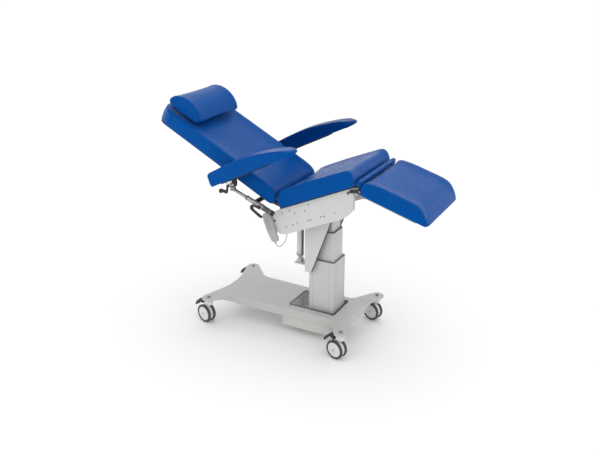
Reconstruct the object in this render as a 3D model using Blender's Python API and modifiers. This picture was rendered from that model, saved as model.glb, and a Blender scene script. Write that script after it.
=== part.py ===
"""Treatment couch: castor base, lifting column, tilting seat, reclining back, leg rest and arm rests.

Metres, +Z up, +X towards the foot end, floor at Z = 0. Angles are in degrees.
Design coordinates have X = 0 halfway between the castors; the root empty moves the
whole couch by -LENGTH_CENTRE, so that the finished model is centred on its own length.
"""

import math

import bmesh
import bpy
from mathutils import Matrix, Vector

GAP = 0.0003
LENGTH_CENTRE = 0.0686

# base
HALF_WHEELBASE = 0.4836
HALF_TRACK = 0.279
DECK_TOP = 0.184
DECK_SHEET = 0.004
SKIRT_BOTTOM = 0.124
SKIRT_TIP = 0.173
SKIRT_SHEET = 0.003
SKIRT_SLOPE = 22.0
SKIRT_TAPER_START = 0.315
ARM_END_RADIUS = 0.044
BASE_HALF_WIDTH = 0.160
OPENING_X = (0.036, 0.350)
OPENING_HALF_WIDTH = 0.104
WELL_X = (0.004, 0.362)
WELL_BOTTOM = 0.055
WELL_SHEET = 0.003
TRIM = 0.005

# castors
WHEEL_RADIUS = 0.0625
WHEEL_TRAIL = 0.029
WHEEL_OUTER = 0.032
WHEEL_INNER = 0.012
RIM_RADIUS = 0.0490
AXLE_RADIUS = 0.006
CASTOR_YAW = -14.0
PEDAL_HINGE = (0.044, 0.147)

# lifting column: (length, width, corner radius, bottom, top) of each stage
COLUMN_X = 0.2483
STAGES = {
    "column_outer": (0.179, 0.171, 0.016, 0.0586, 0.526),
    "column_middle": (0.154, 0.136, 0.014, 0.300, 0.719),
    "column_inner": (0.128, 0.105, 0.012, 0.450, 0.7997),
}
STAGE_PLAY = 0.0006
INNER_WALL = 0.005

# seat: its frame turns about the tilt shaft on the column bracket
TILT_AXIS = (0.270, 0.850)
SEAT_TILT = 24.0
SHAFT_RADIUS = 0.010
BRACKET_HALF_WIDTH = 0.112
BRACKET_SHEET = 0.006
PLATE_FACE = 0.235
PLATE_SHEET = 0.003
CUSHION_HALF_WIDTH = 0.270
BOARD_HALF_WIDTH = 0.250

# back rest: its frame turns about the hinge tube behind the seat
BACK_AXIS = (0.031, 0.930)
BACK_SLOPE = 27.5
BACK_LENGTH = 0.978
BACK_TUBE_RADIUS = 0.007
RAIL_Y = (0.185, 0.205)

# leg rest
LEG_AXIS = (0.488, 1.060)
LEG_SLOPE = 17.0
LEG_LENGTH = 0.507
LEG_TUBE_RADIUS = 0.011

# actuators: (tube radius, tube length, rod radius, eye radius)
TILT_FOOT = (0.054, 0.470)
TILT_HEAD = (0.059, 0.800)
BACK_FOOT = (0.380, 0.921)
BACK_HEAD = (0.053, 0.848)
BACK_ACTUATOR_Y = -0.165
LEG_FOOT = (0.2145, 0.862)
LEG_HEAD = (0.5165, 0.996)
LEG_ACTUATOR_Y = 0.165

# arm rests
BAR_Y = 0.300
BAR_RADIUS = 0.010
BAR_LOW = (0.012, 0.8829)
BAR_RUN = (-0.252, 0.1011)
FAR_PAD_FORWARD = 0.060
SLEEVE_LOW = (0.034, 0.8741)
SLEEVE_HIGH = (-0.147, 0.9467)
CLAMP = (-0.052, 0.9086)
PAD_FROM_BAR = (-0.257, 0.1391)
PAD_SLOPE = 26.7
PAD_Y = (0.285, 0.405)

# handset
HANDSET_TOP = (-0.048, 0.850)
HANDSET_LEAN = 20.0
HANDSET_SIZE = (0.060, 0.0245, 0.190)
HANDSET_BACK = -0.2358
CORD_RADIUS = 0.0021


def clear_scene():
    for obj in list(bpy.data.objects):
        bpy.data.objects.remove(obj, do_unlink=True)


def new_collection(name):
    group = bpy.data.collections.new(name)
    bpy.context.scene.collection.children.link(group)
    return group


def material(name, colour, roughness, metallic=0.0):
    mat = bpy.data.materials.new(name)
    mat.use_nodes = True
    shader = mat.node_tree.nodes["Principled BSDF"]
    shader.inputs["Base Color"].default_value = (*colour, 1.0)
    shader.inputs["Roughness"].default_value = roughness
    shader.inputs["Metallic"].default_value = metallic
    return mat


clear_scene()
PARTS = new_collection("treatment_couch")
CUTTERS = new_collection("cutters")

PAINT = {"colour": (0.62, 0.63, 0.62), "roughness": 0.38, "metallic": 0.1}
ALUMINIUM = {"colour": (0.66, 0.67, 0.68), "roughness": 0.35, "metallic": 0.7}
STEEL = {"colour": (0.60, 0.61, 0.62), "roughness": 0.25, "metallic": 1.0}
VINYL = {"colour": (0.005, 0.085, 0.36), "roughness": 0.42}
BLACK = {"colour": (0.012, 0.012, 0.014), "roughness": 0.5}
TYRE = {"colour": (0.055, 0.052, 0.058), "roughness": 0.6}
PALE_PLASTIC = {"colour": (0.66, 0.66, 0.68), "roughness": 0.4}
GREY_PLASTIC = {"colour": (0.36, 0.38, 0.38), "roughness": 0.5}


# ---------------------------------------------------------------- placing

def pivot(name, x, z, parent=None, y=0.0, tilt=0.0, yaw=0.0):
    """An empty on a joint's axis; what hangs under it is drawn in its own axes."""
    empty = bpy.data.objects.new(name, None)
    PARTS.objects.link(empty)
    empty.parent = parent
    empty.location = (x, y, z)
    empty.rotation_euler = (0.0, math.radians(tilt), math.radians(yaw))
    return empty


def place(name, mesh, parent, look, at=(0.0, 0.0, 0.0), lean=0.0):
    obj = bpy.data.objects.new(name, mesh)
    PARTS.objects.link(obj)
    obj.parent = parent
    obj.location = at
    obj.rotation_euler = (0.0, math.radians(lean), 0.0)
    mesh.materials.clear()
    mesh.materials.append(material(name, **look))
    return obj


def as_tool(obj):
    """Turn an object into a hidden operand of a boolean."""
    for group in list(obj.users_collection):
        group.objects.unlink(obj)
    CUTTERS.objects.link(obj)
    obj.hide_render = True
    obj.display_type = "WIRE"
    return obj


def boolean(obj, mesh, operation, at=(0.0, 0.0, 0.0), lean=0.0):
    tool = bpy.data.objects.new(obj.name + "_tool", mesh)
    CUTTERS.objects.link(tool)
    tool.parent = obj
    tool.location = at
    tool.rotation_euler = (0.0, math.radians(lean), 0.0)
    as_tool(tool)
    step = obj.modifiers.new(operation.lower(), "BOOLEAN")
    step.operation = operation
    step.object = tool
    return obj


def join(obj, mesh, **where):
    return boolean(obj, mesh, "UNION", **where)


def cut(obj, mesh, **where):
    return boolean(obj, mesh, "DIFFERENCE", **where)


def soften(obj, width, segments=2, angle=40.0):
    step = obj.modifiers.new("soft edges", "BEVEL")
    step.width = width
    step.segments = segments
    step.limit_method = "ANGLE"
    step.angle_limit = math.radians(angle)
    return obj


# ---------------------------------------------------------------- shapes

def arc(centre, radius, start, end, steps=6):
    """Points on an arc, both ends included; angles in degrees."""
    turns = [start + (end - start) * i / steps for i in range(steps + 1)]
    return [(centre[0] + radius * math.cos(math.radians(t)),
             centre[1] + radius * math.sin(math.radians(t))) for t in turns]


def rounded_rectangle(x0, x1, y0, y1, radius, steps=4):
    return (arc((x1 - radius, y1 - radius), radius, 0, 90, steps)
            + arc((x0 + radius, y1 - radius), radius, 90, 180, steps)
            + arc((x0 + radius, y0 + radius), radius, 180, 270, steps)
            + arc((x1 - radius, y0 + radius), radius, 270, 360, steps))


def inset(points, distance):
    """Move a counter-clockwise outline inwards by the given distance."""
    moved = []
    for i, here in enumerate(points):
        before = Vector(points[i - 1])
        after = Vector(points[(i + 1) % len(points)])
        here = Vector(here)
        a = (here - before).normalized()
        b = (after - here).normalized()
        normal = Vector((-a.y - b.y, a.x + b.x)).normalized()
        moved.append(tuple(here + normal * distance / max(0.5, normal.dot((-a.y, a.x)))))
    return moved


TO_PLANE = {
    "XY": Matrix.Identity(4),
    "XZ": Matrix(((1, 0, 0, 0), (0, 0, 1, 0), (0, 1, 0, 0), (0, 0, 0, 1))),
}


def sheet(outline, low, high, plane="XY", hole=None):
    """A flat outline with thickness: XY outlines rise along Z, XZ outlines run along Y."""
    curve = bpy.data.curves.new("outline", "CURVE")
    curve.dimensions = "2D"
    curve.fill_mode = "BOTH"
    curve.extrude = (high - low) / 2
    for points in [outline] + ([hole] if hole else []):
        spline = curve.splines.new("POLY")
        spline.points.add(len(points) - 1)
        for point, (a, b) in zip(spline.points, points):
            point.co = (a, b, 0.0, 1.0)
        spline.use_cyclic_u = True
    return solid_of(curve, TO_PLANE[plane] @ Matrix.Translation((0, 0, (low + high) / 2)))


def solid_of(curve, matrix=None):
    """The curve's own solid as a welded mesh with its faces pointing out."""
    holder = bpy.data.objects.new("holder", curve)
    CUTTERS.objects.link(holder)
    bpy.context.view_layer.update()
    graph = bpy.context.evaluated_depsgraph_get()
    mesh = bpy.data.meshes.new_from_object(holder.evaluated_get(graph))
    bpy.data.objects.remove(holder, do_unlink=True)
    work = bmesh.new()
    work.from_mesh(mesh)
    bmesh.ops.remove_doubles(work, verts=work.verts, dist=1e-6)
    bmesh.ops.transform(work, matrix=matrix or Matrix.Identity(4), verts=work.verts)
    bmesh.ops.recalc_face_normals(work, faces=work.faces)
    work.to_mesh(mesh)
    work.free()
    return mesh


def box(x, y, z):
    """A block between three pairs of limits."""
    work = bmesh.new()
    size = Vector((x[1] - x[0], y[1] - y[0], z[1] - z[0]))
    centre = Vector((x[0] + x[1], y[0] + y[1], z[0] + z[1])) / 2
    bmesh.ops.create_cube(work, size=1.0, matrix=Matrix.Translation(centre) @ Matrix.Diagonal((*size, 1)))
    mesh = bpy.data.meshes.new("box")
    work.to_mesh(mesh)
    work.free()
    return mesh


def rod(start, end, radius, sides=20):
    """A round bar between two points."""
    start, end = Vector(start), Vector(end)
    run = end - start
    turn = run.to_track_quat("Z", "Y").to_matrix().to_4x4()
    work = bmesh.new()
    bmesh.ops.create_cone(work, cap_ends=True, segments=sides, radius1=radius, radius2=radius,
                          depth=run.length, matrix=Matrix.Translation((start + end) / 2) @ turn)
    mesh = bpy.data.meshes.new("rod")
    work.to_mesh(mesh)
    work.free()
    for face in mesh.polygons:
        face.use_smooth = len(face.vertices) == 4
    return mesh


def turned(obj_name, profile, parent, look, steps=24, at=(0.0, 0.0, 0.0), across=False):
    """A turned piece about Z, or about Y when across; the profile runs top to bottom outside."""
    closed = profile[0] == profile[-1]
    points = profile[:-1] if closed else profile
    edges = [(i, i + 1) for i in range(len(points) - 1)]
    if closed:
        edges.append((len(points) - 1, 0))
    mesh = bpy.data.meshes.new(obj_name)
    mesh.from_pydata([(r, 0.0, z) for r, z in points], edges, [])
    obj = place(obj_name, mesh, parent, look, at)
    obj.rotation_euler.x = math.radians(90) if across else 0.0
    screw = obj.modifiers.new("turn", "SCREW")
    screw.steps = steps
    screw.render_steps = steps
    screw.use_merge_vertices = True
    screw.merge_threshold = 1e-5
    screw.use_smooth_shade = True
    return obj


# ---------------------------------------------------------------- base

def deck_outline():
    """The deck's plan: a waist with four slanted arms, counter-clockwise."""
    foot_arm = arc((HALF_WHEELBASE, HALF_TRACK), ARM_END_RADIUS, -8, 148, 9)
    head_arm = arc((-HALF_WHEELBASE, HALF_TRACK), ARM_END_RADIUS, 32, 188, 9)
    upper = ([(0.461, 0.060), (0.470, 0.130)] + foot_arm + [(0.372, 0.180), (0.345, BASE_HALF_WIDTH)]
             + [(-0.290, BASE_HALF_WIDTH + 0.012), (-0.335, 0.186)] + head_arm
             + [(-0.477, 0.110), (-0.466, 0.050)])
    return upper + [(x, -y) for x, y in reversed(upper)]


def make_base(root):
    outline = deck_outline()
    deck = place("base_deck", sheet(outline, SKIRT_BOTTOM, DECK_TOP), root, PAINT)
    cut(deck, sheet(inset(outline, SKIRT_SHEET), SKIRT_BOTTOM - 0.01, DECK_TOP - DECK_SHEET))
    opening = rounded_rectangle(*OPENING_X, -OPENING_HALF_WIDTH, OPENING_HALF_WIDTH, 0.006, 2)
    cut(deck, sheet(opening, DECK_TOP - 0.02, DECK_TOP + 0.02))
    rise = (SKIRT_TIP - SKIRT_BOTTOM) / math.tan(math.radians(SKIRT_SLOPE))
    wedge = [(SKIRT_TAPER_START, SKIRT_BOTTOM - 0.02), (0.70, SKIRT_BOTTOM - 0.02), (0.70, SKIRT_TIP),
             (SKIRT_TAPER_START + rise, SKIRT_TIP), (SKIRT_TAPER_START, SKIRT_BOTTOM)]
    for side_x in (-1, 1):
        for side_y in (-1, 1):
            taper = sheet(wedge, -0.30, 0.30, "XZ")
            taper.transform(Matrix.Rotation(math.atan2(0.8 * side_y, 0.6 * side_x), 4, "Z"))
            cut(deck, taper)

    well_y = BASE_HALF_WIDTH - SKIRT_SHEET - 0.0008
    outer = rounded_rectangle(*WELL_X, -well_y, well_y, 0.008, 2)
    well = place("well_box", sheet(outer, WELL_BOTTOM, DECK_TOP - DECK_SHEET - GAP), root, PAINT)
    cut(well, sheet(inset(outer, WELL_SHEET), WELL_BOTTOM + WELL_SHEET, DECK_TOP))

    outer = rounded_rectangle(OPENING_X[0] - TRIM, OPENING_X[1] + TRIM,
                              -OPENING_HALF_WIDTH - TRIM, OPENING_HALF_WIDTH + TRIM, 0.009, 2)
    hole = rounded_rectangle(*OPENING_X, -OPENING_HALF_WIDTH, OPENING_HALF_WIDTH, 0.005, 2)
    place("opening_trim", sheet(outer, DECK_TOP + GAP, DECK_TOP + 0.003, hole=hole), root, BLACK)


# ---------------------------------------------------------------- castors

def make_castor(label, x, y, root):
    frame = pivot(f"castor_{label}_swivel", x, 0.0, root, y=y, yaw=CASTOR_YAW)
    axle = (-WHEEL_TRAIL, 0.0, WHEEL_RADIUS)

    hood = (arc((-WHEEL_TRAIL, WHEEL_RADIUS), 0.054, -35, 70, 8)
            + [(0.016, 0.128), (0.024, 0.150), (-0.022, 0.150), (-0.036, 0.128)]
            + arc((-WHEEL_TRAIL, WHEEL_RADIUS), 0.054, 110, 168, 5)
            + arc((-WHEEL_TRAIL, WHEEL_RADIUS), 0.014, 200, 320, 6))
    housing = place(f"castor_{label}_housing", sheet(hood, -0.0105, 0.0105, "XZ"), frame,
                    PALE_PLASTIC)
    join(housing, rod((0, 0, 0.142), (0, 0, 0.1720), 0.026, 24))
    cut(housing, rod((axle[0], -0.05, axle[2]), (axle[0], 0.05, axle[2]), AXLE_RADIUS + GAP, 16))

    rim = RIM_RADIUS - GAP
    half_hub = [(0.0, WHEEL_OUTER), (0.030, WHEEL_OUTER), (0.044, WHEEL_OUTER - 0.002),
                (rim, WHEEL_OUTER - 0.005), (rim, WHEEL_INNER), (AXLE_RADIUS, WHEEL_INNER)]
    turned(f"castor_{label}_hubs", half_hub + [(r, -y) for r, y in reversed(half_hub)],
           frame, PALE_PLASTIC, 24, axle, True)

    tyre_profile = [(RIM_RADIUS, 0.0080), (0.0545, 0.0095), (0.0605, 0.0060), (WHEEL_RADIUS, 0.0),
                    (0.0605, -0.0060), (0.0545, -0.0095), (RIM_RADIUS, -0.0080), (RIM_RADIUS, 0.0080)]
    for side, offset in (("inner", 0.0215), ("outer", -0.0215)):
        turned(f"castor_{label}_tyre_{side}", tyre_profile, frame, TYRE, 32,
               (axle[0], offset, axle[2]), True)

    treadle = [(0.0025, -0.014), (0.0045, 0.009), (-0.010, 0.014), (-0.034, 0.006), (-0.066, -0.022),
               (-0.078, -0.047), (-0.071, -0.052), (-0.053, -0.029), (-0.028, -0.009), (-0.011, -0.016)]
    pedal = place(f"castor_{label}_pedal", sheet(treadle, -0.019, 0.019, "XZ"), frame, BLACK,
                  at=(-PEDAL_HINGE[0], 0.0, PEDAL_HINGE[1]))
    soften(pedal, 0.0015, 1)


# ---------------------------------------------------------------- column and bracket

def make_column(root):
    inner_sizes = {
        "column_outer": STAGES["column_middle"][:3],
        "column_middle": STAGES["column_inner"][:3],
    }
    for name, (length, width, radius, bottom, top) in STAGES.items():
        outline = rounded_rectangle(COLUMN_X - length / 2, COLUMN_X + length / 2,
                                    -width / 2, width / 2, radius)
        if name in inner_sizes:
            next_length, next_width, next_radius = inner_sizes[name]
            half_l, half_w = next_length / 2 + STAGE_PLAY, next_width / 2 + STAGE_PLAY
        else:
            half_l, half_w, next_radius = length / 2 - INNER_WALL, width / 2 - INNER_WALL, radius - INNER_WALL
        bore = rounded_rectangle(COLUMN_X - half_l, COLUMN_X + half_l, -half_w, half_w, next_radius)
        place(name, sheet(outline, bottom, top, hole=bore), root, ALUMINIUM)


def make_bracket(root):
    """Top plate on the inner stage, two gussets with the tilt ears, back web and actuator foot."""
    axis_x, axis_z = TILT_AXIS
    gusset = ([(0.147, 0.446), (0.190, 0.446), (0.332, 0.836)] + arc(TILT_AXIS, 0.030, 10, 130, 6)
              + [(0.147, 0.806)])
    inner = BRACKET_HALF_WIDTH - BRACKET_SHEET
    bracket = place("column_bracket", sheet(gusset, inner, BRACKET_HALF_WIDTH, "XZ"), root, PAINT)
    join(bracket, sheet(gusset, -BRACKET_HALF_WIDTH, -inner, "XZ"))
    join(bracket, box((0.149, 0.3145), (-inner - 0.003, inner + 0.003), (0.800, 0.8075)))
    join(bracket, box((0.1475, 0.1520), (-inner - 0.003, inner + 0.003), (0.4465, 0.8040)))
    foot_x = TILT_FOOT[0]
    join(bracket, box((foot_x - 0.025, 0.1500), (-0.034, 0.034), (0.4470, 0.4535)))
    foot = [(foot_x - 0.020, 0.450), (foot_x + 0.020, 0.450)] + arc(TILT_FOOT, 0.013, 0, 180, 8)
    for low, high in ((-0.0215, -0.0155), (0.0155, 0.0215)):
        join(bracket, sheet(foot, low, high, "XZ"))
    join(bracket, rod((TILT_FOOT[0], -0.025, TILT_FOOT[1]), (TILT_FOOT[0], 0.025, TILT_FOOT[1]), 0.005, 16))
    cut(bracket, rod((axis_x, -0.2, axis_z), (axis_x, 0.2, axis_z), SHAFT_RADIUS + GAP, 24))


def make_actuator(name, foot, head, y, parent, tube_radius, tube_span, rod_radius, rod_start, eye):
    """A tube with a tongue at its foot and a rod that slides in it, along the line foot to head."""
    run = math.hypot(head[0] - foot[0], head[1] - foot[1])
    lean = math.degrees(math.atan2(head[0] - foot[0], head[1] - foot[1]))
    axis = pivot(name + "_pivot", foot[0], foot[1], parent, y=y, tilt=lean)
    low, high = tube_span
    bore = rod_radius + GAP
    tube = turned(name + "_tube",
                  [(0.0, rod_start - 0.055), (bore, rod_start - 0.055), (bore, high),
                   (tube_radius * 0.8, high), (tube_radius, high - 0.004),
                   (tube_radius, low + 0.006), (tube_radius * 0.8, low), (0.0, low)],
                  axis, ALUMINIUM)
    join(tube, sheet([(-0.011, low + 0.01)] + arc((0, 0), 0.011, 180, 360, 8) + [(0.011, low + 0.01)],
                     -0.009, 0.009, "XZ"))
    cut(tube, rod((0, -0.02, 0), (0, 0.02, 0), 0.0054, 16))
    shaft = place(name + "_rod", rod((0, 0, rod_start), (0, 0, run), rod_radius, 20), axis, STEEL)
    join(shaft, rod((0, -eye[1], run), (0, eye[1], run), eye[0], 20))
    cut(shaft, rod((0, -0.05, run), (0, 0.05, run), eye[2], 16))


# ---------------------------------------------------------------- seat

def seat_point(x, z):
    """Design coordinates turned into the seat frame's own axes."""
    turn = math.radians(SEAT_TILT)
    dx, dz = x - TILT_AXIS[0], z - TILT_AXIS[1]
    return (dx * math.cos(turn) + dz * math.sin(turn), -dx * math.sin(turn) + dz * math.cos(turn))


PLATE_TOP = 0.1235
PLATE_BOTTOM = -0.034
PAN_BOTTOM = PLATE_TOP + GAP
PAN_TOP = 0.1335
SEAT_BASE = PAN_TOP + GAP


def make_side_plate(name, side, seat):
    middle = (PLATE_TOP + PLATE_BOTTOM) / 2
    radius = (PLATE_TOP - PLATE_BOTTOM) / 2
    outline = (arc((-0.212, middle), radius, 90, 270, 16)
               + [(0.182, PLATE_BOTTOM), (0.241, PLATE_BOTTOM + 0.014), (0.275, PLATE_BOTTOM + 0.032),
                  (0.333, PLATE_TOP)])
    low, high = sorted((side * PLATE_FACE, side * (PLATE_FACE - PLATE_SHEET)))
    plate = place(name, sheet(outline, low, high, "XZ"), seat, PAINT)
    fold = [(0.276, PLATE_BOTTOM + 0.032), (0.333, PLATE_TOP), (0.3302, PLATE_TOP),
            (0.2733, PLATE_BOTTOM + 0.0325)]
    low, high = sorted((side * (PLATE_FACE - 0.022), side * (PLATE_FACE - 0.001)))
    join(plate, sheet(fold, low, high, "XZ"))
    low, high = sorted((side * (PLATE_FACE - 0.020), side * (PLATE_FACE - 0.001)))
    join(plate, box((-0.205, 0.331), (low, high), (PLATE_TOP - 0.003, PLATE_TOP - 0.0001)))
    hinge = seat_point(*LEG_AXIS)
    join(plate, rod((hinge[0], side * 0.2345, hinge[1]), (hinge[0], side * 0.2180, hinge[1]), 0.005, 16))
    return plate


def make_seat(root):
    seat = pivot("seat_tilt_axis", *TILT_AXIS, root, tilt=-SEAT_TILT)
    place("seat_shaft", rod((0, -0.2315, 0), (0, 0.2315, 0), SHAFT_RADIUS, 24), seat, STEEL)
    near = make_side_plate("side_plate_near", -1, seat)
    far = make_side_plate("side_plate_far", 1, seat)
    foot = seat_point(*BACK_FOOT)
    join(near, rod((foot[0], -0.2345, foot[1]), (foot[0], -0.1400, foot[1]), 0.0045, 16))
    foot = seat_point(*LEG_FOOT)
    join(far, rod((foot[0], 0.2345, foot[1]), (foot[0], 0.1400, foot[1]), 0.0045, 16))
    tab = [(-0.320, 0.030), (-0.285, 0.030), (-0.285, 0.072), (-0.320, 0.072)]
    join(near, sheet(tab, -PLATE_FACE, -PLATE_FACE + PLATE_SHEET, "XZ"))

    pan = place("seat_pan", box((-0.158, 0.322), (-0.231, 0.231), (PAN_BOTTOM, PAN_TOP)), seat, BLACK)
    hinge = seat_point(*BACK_AXIS)
    ear = ([(-0.196, PAN_BOTTOM + 0.001), (-0.150, PAN_BOTTOM + 0.001), (-0.150, PAN_TOP - 0.001),
            (-0.1775, PAN_TOP - 0.001)] + arc(hinge, 0.0092, 0, 180, 8))
    head = seat_point(*TILT_HEAD)
    clevis = ([(head[0] + 0.020, PAN_BOTTOM - 0.030), (-0.150, PAN_BOTTOM + 0.001), (-0.150, PAN_TOP - 0.001),
               (head[0] - 0.016, PAN_TOP - 0.001)] + arc(head, 0.013, 180, 340, 8))
    for side in (-1, 1):
        low, high = sorted((side * 0.2240, side * 0.2280))
        join(pan, sheet(ear, low, high, "XZ"))
        join(pan, rod((hinge[0], side * 0.2265, hinge[1]), (hinge[0], side * 0.2130, hinge[1]), 0.0035, 16))
        low, high = sorted((side * 0.0105, side * 0.0155))
        join(pan, sheet(clevis, low, high, "XZ"))
    join(pan, rod((head[0], -0.0150, head[1]), (head[0], 0.0150, head[1]), 0.004, 16))

    top = SEAT_BASE + 0.1130
    outline = ([(-0.164, SEAT_BASE), (0.348, SEAT_BASE), (0.368, SEAT_BASE + 0.020),
                (0.364, SEAT_BASE + 0.066)]
               + arc((0.326, SEAT_BASE + 0.069), 0.036, 5, 75, 4)
               + [(0.240, top - 0.002), (0.040, top), (-0.090, top - 0.008)]
               + arc((-0.124, SEAT_BASE + 0.076), 0.027, 100, 165, 3) + [(-0.172, SEAT_BASE + 0.016)])
    cushion = place("seat_cushion",
                    sheet(outline, -CUSHION_HALF_WIDTH, CUSHION_HALF_WIDTH, "XZ"), seat, VINYL)
    soften(cushion, 0.008, 2)


# ---------------------------------------------------------------- back rest, leg rest, pillow

def frame_of_rails(name, outline, cross_at, tube_radius, tube_half, parent, look):
    """A hinge tube across the couch with two rails and a cross bar welded to it."""
    frame = place(name, rod((0, -tube_half, 0), (0, tube_half, 0), tube_radius, 20), parent, look)
    for side in (-1, 1):
        low, high = sorted((side * RAIL_Y[0], side * RAIL_Y[1]))
        join(frame, sheet(outline, low, high, "XZ"))
    join(frame, box(cross_at[0], (-RAIL_Y[0] - 0.005, RAIL_Y[0] + 0.005), cross_at[1]))
    return frame


def lever(frame, tip, y, half_gap):
    """Two cheeks from the hinge tube to the actuator's end."""
    along = math.degrees(math.atan2(tip[1], tip[0]))
    outline = arc((0, 0), 0.0105, along + 90, along + 270, 8) + arc(tip, 0.0085, along - 90, along + 90, 8)
    for side in (-1, 1):
        low, high = sorted((y + side * half_gap, y + side * (half_gap + 0.004)))
        join(frame, sheet(outline, low, high, "XZ"))


def cushion_block(x, half_width, z, corner_x0, corner_x1):
    """A flat pad in plan with a corner radius at each end."""
    outline = (arc((x[1] - corner_x1, half_width - corner_x1), corner_x1, 0, 90, 5)
               + arc((x[0] + corner_x0, half_width - corner_x0), corner_x0, 90, 180, 5)
               + arc((x[0] + corner_x0, -half_width + corner_x0), corner_x0, 180, 270, 5)
               + arc((x[1] - corner_x1, -half_width + corner_x1), corner_x1, 270, 360, 5))
    return sheet(outline, *z)


CUSHION_UNDER = -0.0255


def make_back(root):
    back = pivot("back_axis", *BACK_AXIS, root, tilt=BACK_SLOPE)
    rail = [(-0.004, -0.002), (0.004, 0.001), (0.014, -0.026), (0.006, -0.044), (-0.060, -0.058),
            (-0.846, -0.058), (-0.846, -0.030), (-0.014, -0.030), (0.002, -0.022)]
    frame = frame_of_rails("back_frame", rail, ((-0.848, -0.828), (-0.056, -0.031)),
                           BACK_TUBE_RADIUS, 0.2235, back, PAINT)
    board = rounded_rectangle(0.014 - BACK_LENGTH + 0.016, -0.014, -BOARD_HALF_WIDTH, BOARD_HALF_WIDTH, 0.05)
    join(frame, sheet(board, -0.0365, CUSHION_UNDER - GAP))
    turn = math.radians(BACK_SLOPE)
    dx, dz = BACK_HEAD[0] - BACK_AXIS[0], BACK_HEAD[1] - BACK_AXIS[1]
    tip = (dx * math.cos(turn) - dz * math.sin(turn), dx * math.sin(turn) + dz * math.cos(turn))
    lever(frame, tip, BACK_ACTUATOR_Y, 0.0100)
    cut(frame, rod((0, -0.3, 0), (0, 0.3, 0), 0.0038, 16))

    profile = ([(-0.020, CUSHION_UNDER), (-BACK_LENGTH, CUSHION_UNDER), (-BACK_LENGTH, 0.040)]
               + arc((-BACK_LENGTH + 0.038, 0.040), 0.038, 180, 90, 4)
               + [(-0.110, 0.078), (-0.064, 0.072), (-0.036, 0.060), (-0.020, 0.040), (-0.0135, 0.010),
                  (-0.014, -0.018)])
    cushion = place("back_cushion",
                    sheet(profile, -CUSHION_HALF_WIDTH, CUSHION_HALF_WIDTH, "XZ"), back, VINYL)
    plan = cushion_block((-BACK_LENGTH, 0.01), CUSHION_HALF_WIDTH + 0.0002, (-0.10, 0.15),
                         0.120, 0.004)
    boolean(cushion, plan, "INTERSECT")

    pillow_axis = pivot("pillow_axis", -0.818, 0.0790, back)
    lens = (arc((0.0, 0.030), 0.030, 250, 290, 2)
            + [(0.098, 0.006), (0.126, 0.018), (0.132, 0.034), (0.118, 0.060), (0.086, 0.087), (0.045, 0.106),
               (0.000, 0.113), (-0.045, 0.109), (-0.085, 0.094), (-0.115, 0.070), (-0.131, 0.044),
               (-0.126, 0.022), (-0.098, 0.006)])
    pillow = place("head_pillow", sheet(lens, -0.225, 0.225, "XZ"), pillow_axis, VINYL)
    soften(pillow, 0.006, 2, 60)


def make_leg(root):
    leg = pivot("leg_axis", *LEG_AXIS, root, tilt=LEG_SLOPE)
    rail = [(-0.006, -0.010), (0.070, -0.010), (0.105, 0.002), (0.415, 0.002), (0.415, 0.0250),
            (0.095, 0.0250), (0.060, 0.010), (-0.006, 0.010)]
    frame = frame_of_rails("leg_frame", rail, ((0.3945, 0.4145), (0.003, 0.0250)),
                           LEG_TUBE_RADIUS, 0.2310, leg, PAINT)
    board = rounded_rectangle(0.086, 0.435, -BOARD_HALF_WIDTH, BOARD_HALF_WIDTH, 0.05)
    join(frame, sheet(board, 0.0245, 0.0342))
    turn = math.radians(LEG_SLOPE)
    dx, dz = LEG_HEAD[0] - LEG_AXIS[0], LEG_HEAD[1] - LEG_AXIS[1]
    tip = (dx * math.cos(turn) - dz * math.sin(turn), dx * math.sin(turn) + dz * math.cos(turn))
    lever(frame, tip, LEG_ACTUATOR_Y, 0.0100)
    cut(frame, rod((0, -0.3, 0), (0, 0.3, 0), 0.0054, 16))

    profile = ([(0.082, 0.0348), (LEG_LENGTH - 0.008, 0.0348), (LEG_LENGTH, 0.041),
                (LEG_LENGTH - 0.003, 0.053), (0.490, 0.071), (0.464, 0.098), (0.441, 0.121),
                (0.416, 0.134), (0.380, 0.141), (0.170, 0.142), (0.120, 0.136)]
               + arc((0.098, 0.094), 0.038, 85, 170, 4) + [(0.064, 0.050)])
    cushion = place("leg_cushion",
                    sheet(profile, -CUSHION_HALF_WIDTH, CUSHION_HALF_WIDTH, "XZ"), leg, VINYL)
    plan = cushion_block((0.03, LEG_LENGTH), CUSHION_HALF_WIDTH + 0.0002, (-0.05, 0.20),
                         0.004, 0.032)
    boolean(cushion, plan, "INTERSECT")


# ---------------------------------------------------------------- arm rests

def span(low, high):
    return min(low, high), max(low, high)


def from_back(s, n):
    """Design coordinates of a point s up the back rest and n above its hinge line."""
    turn = math.radians(BACK_SLOPE)
    return (BACK_AXIS[0] - s * math.cos(turn) + n * math.sin(turn),
            BACK_AXIS[1] + s * math.sin(turn) + n * math.cos(turn))


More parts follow.
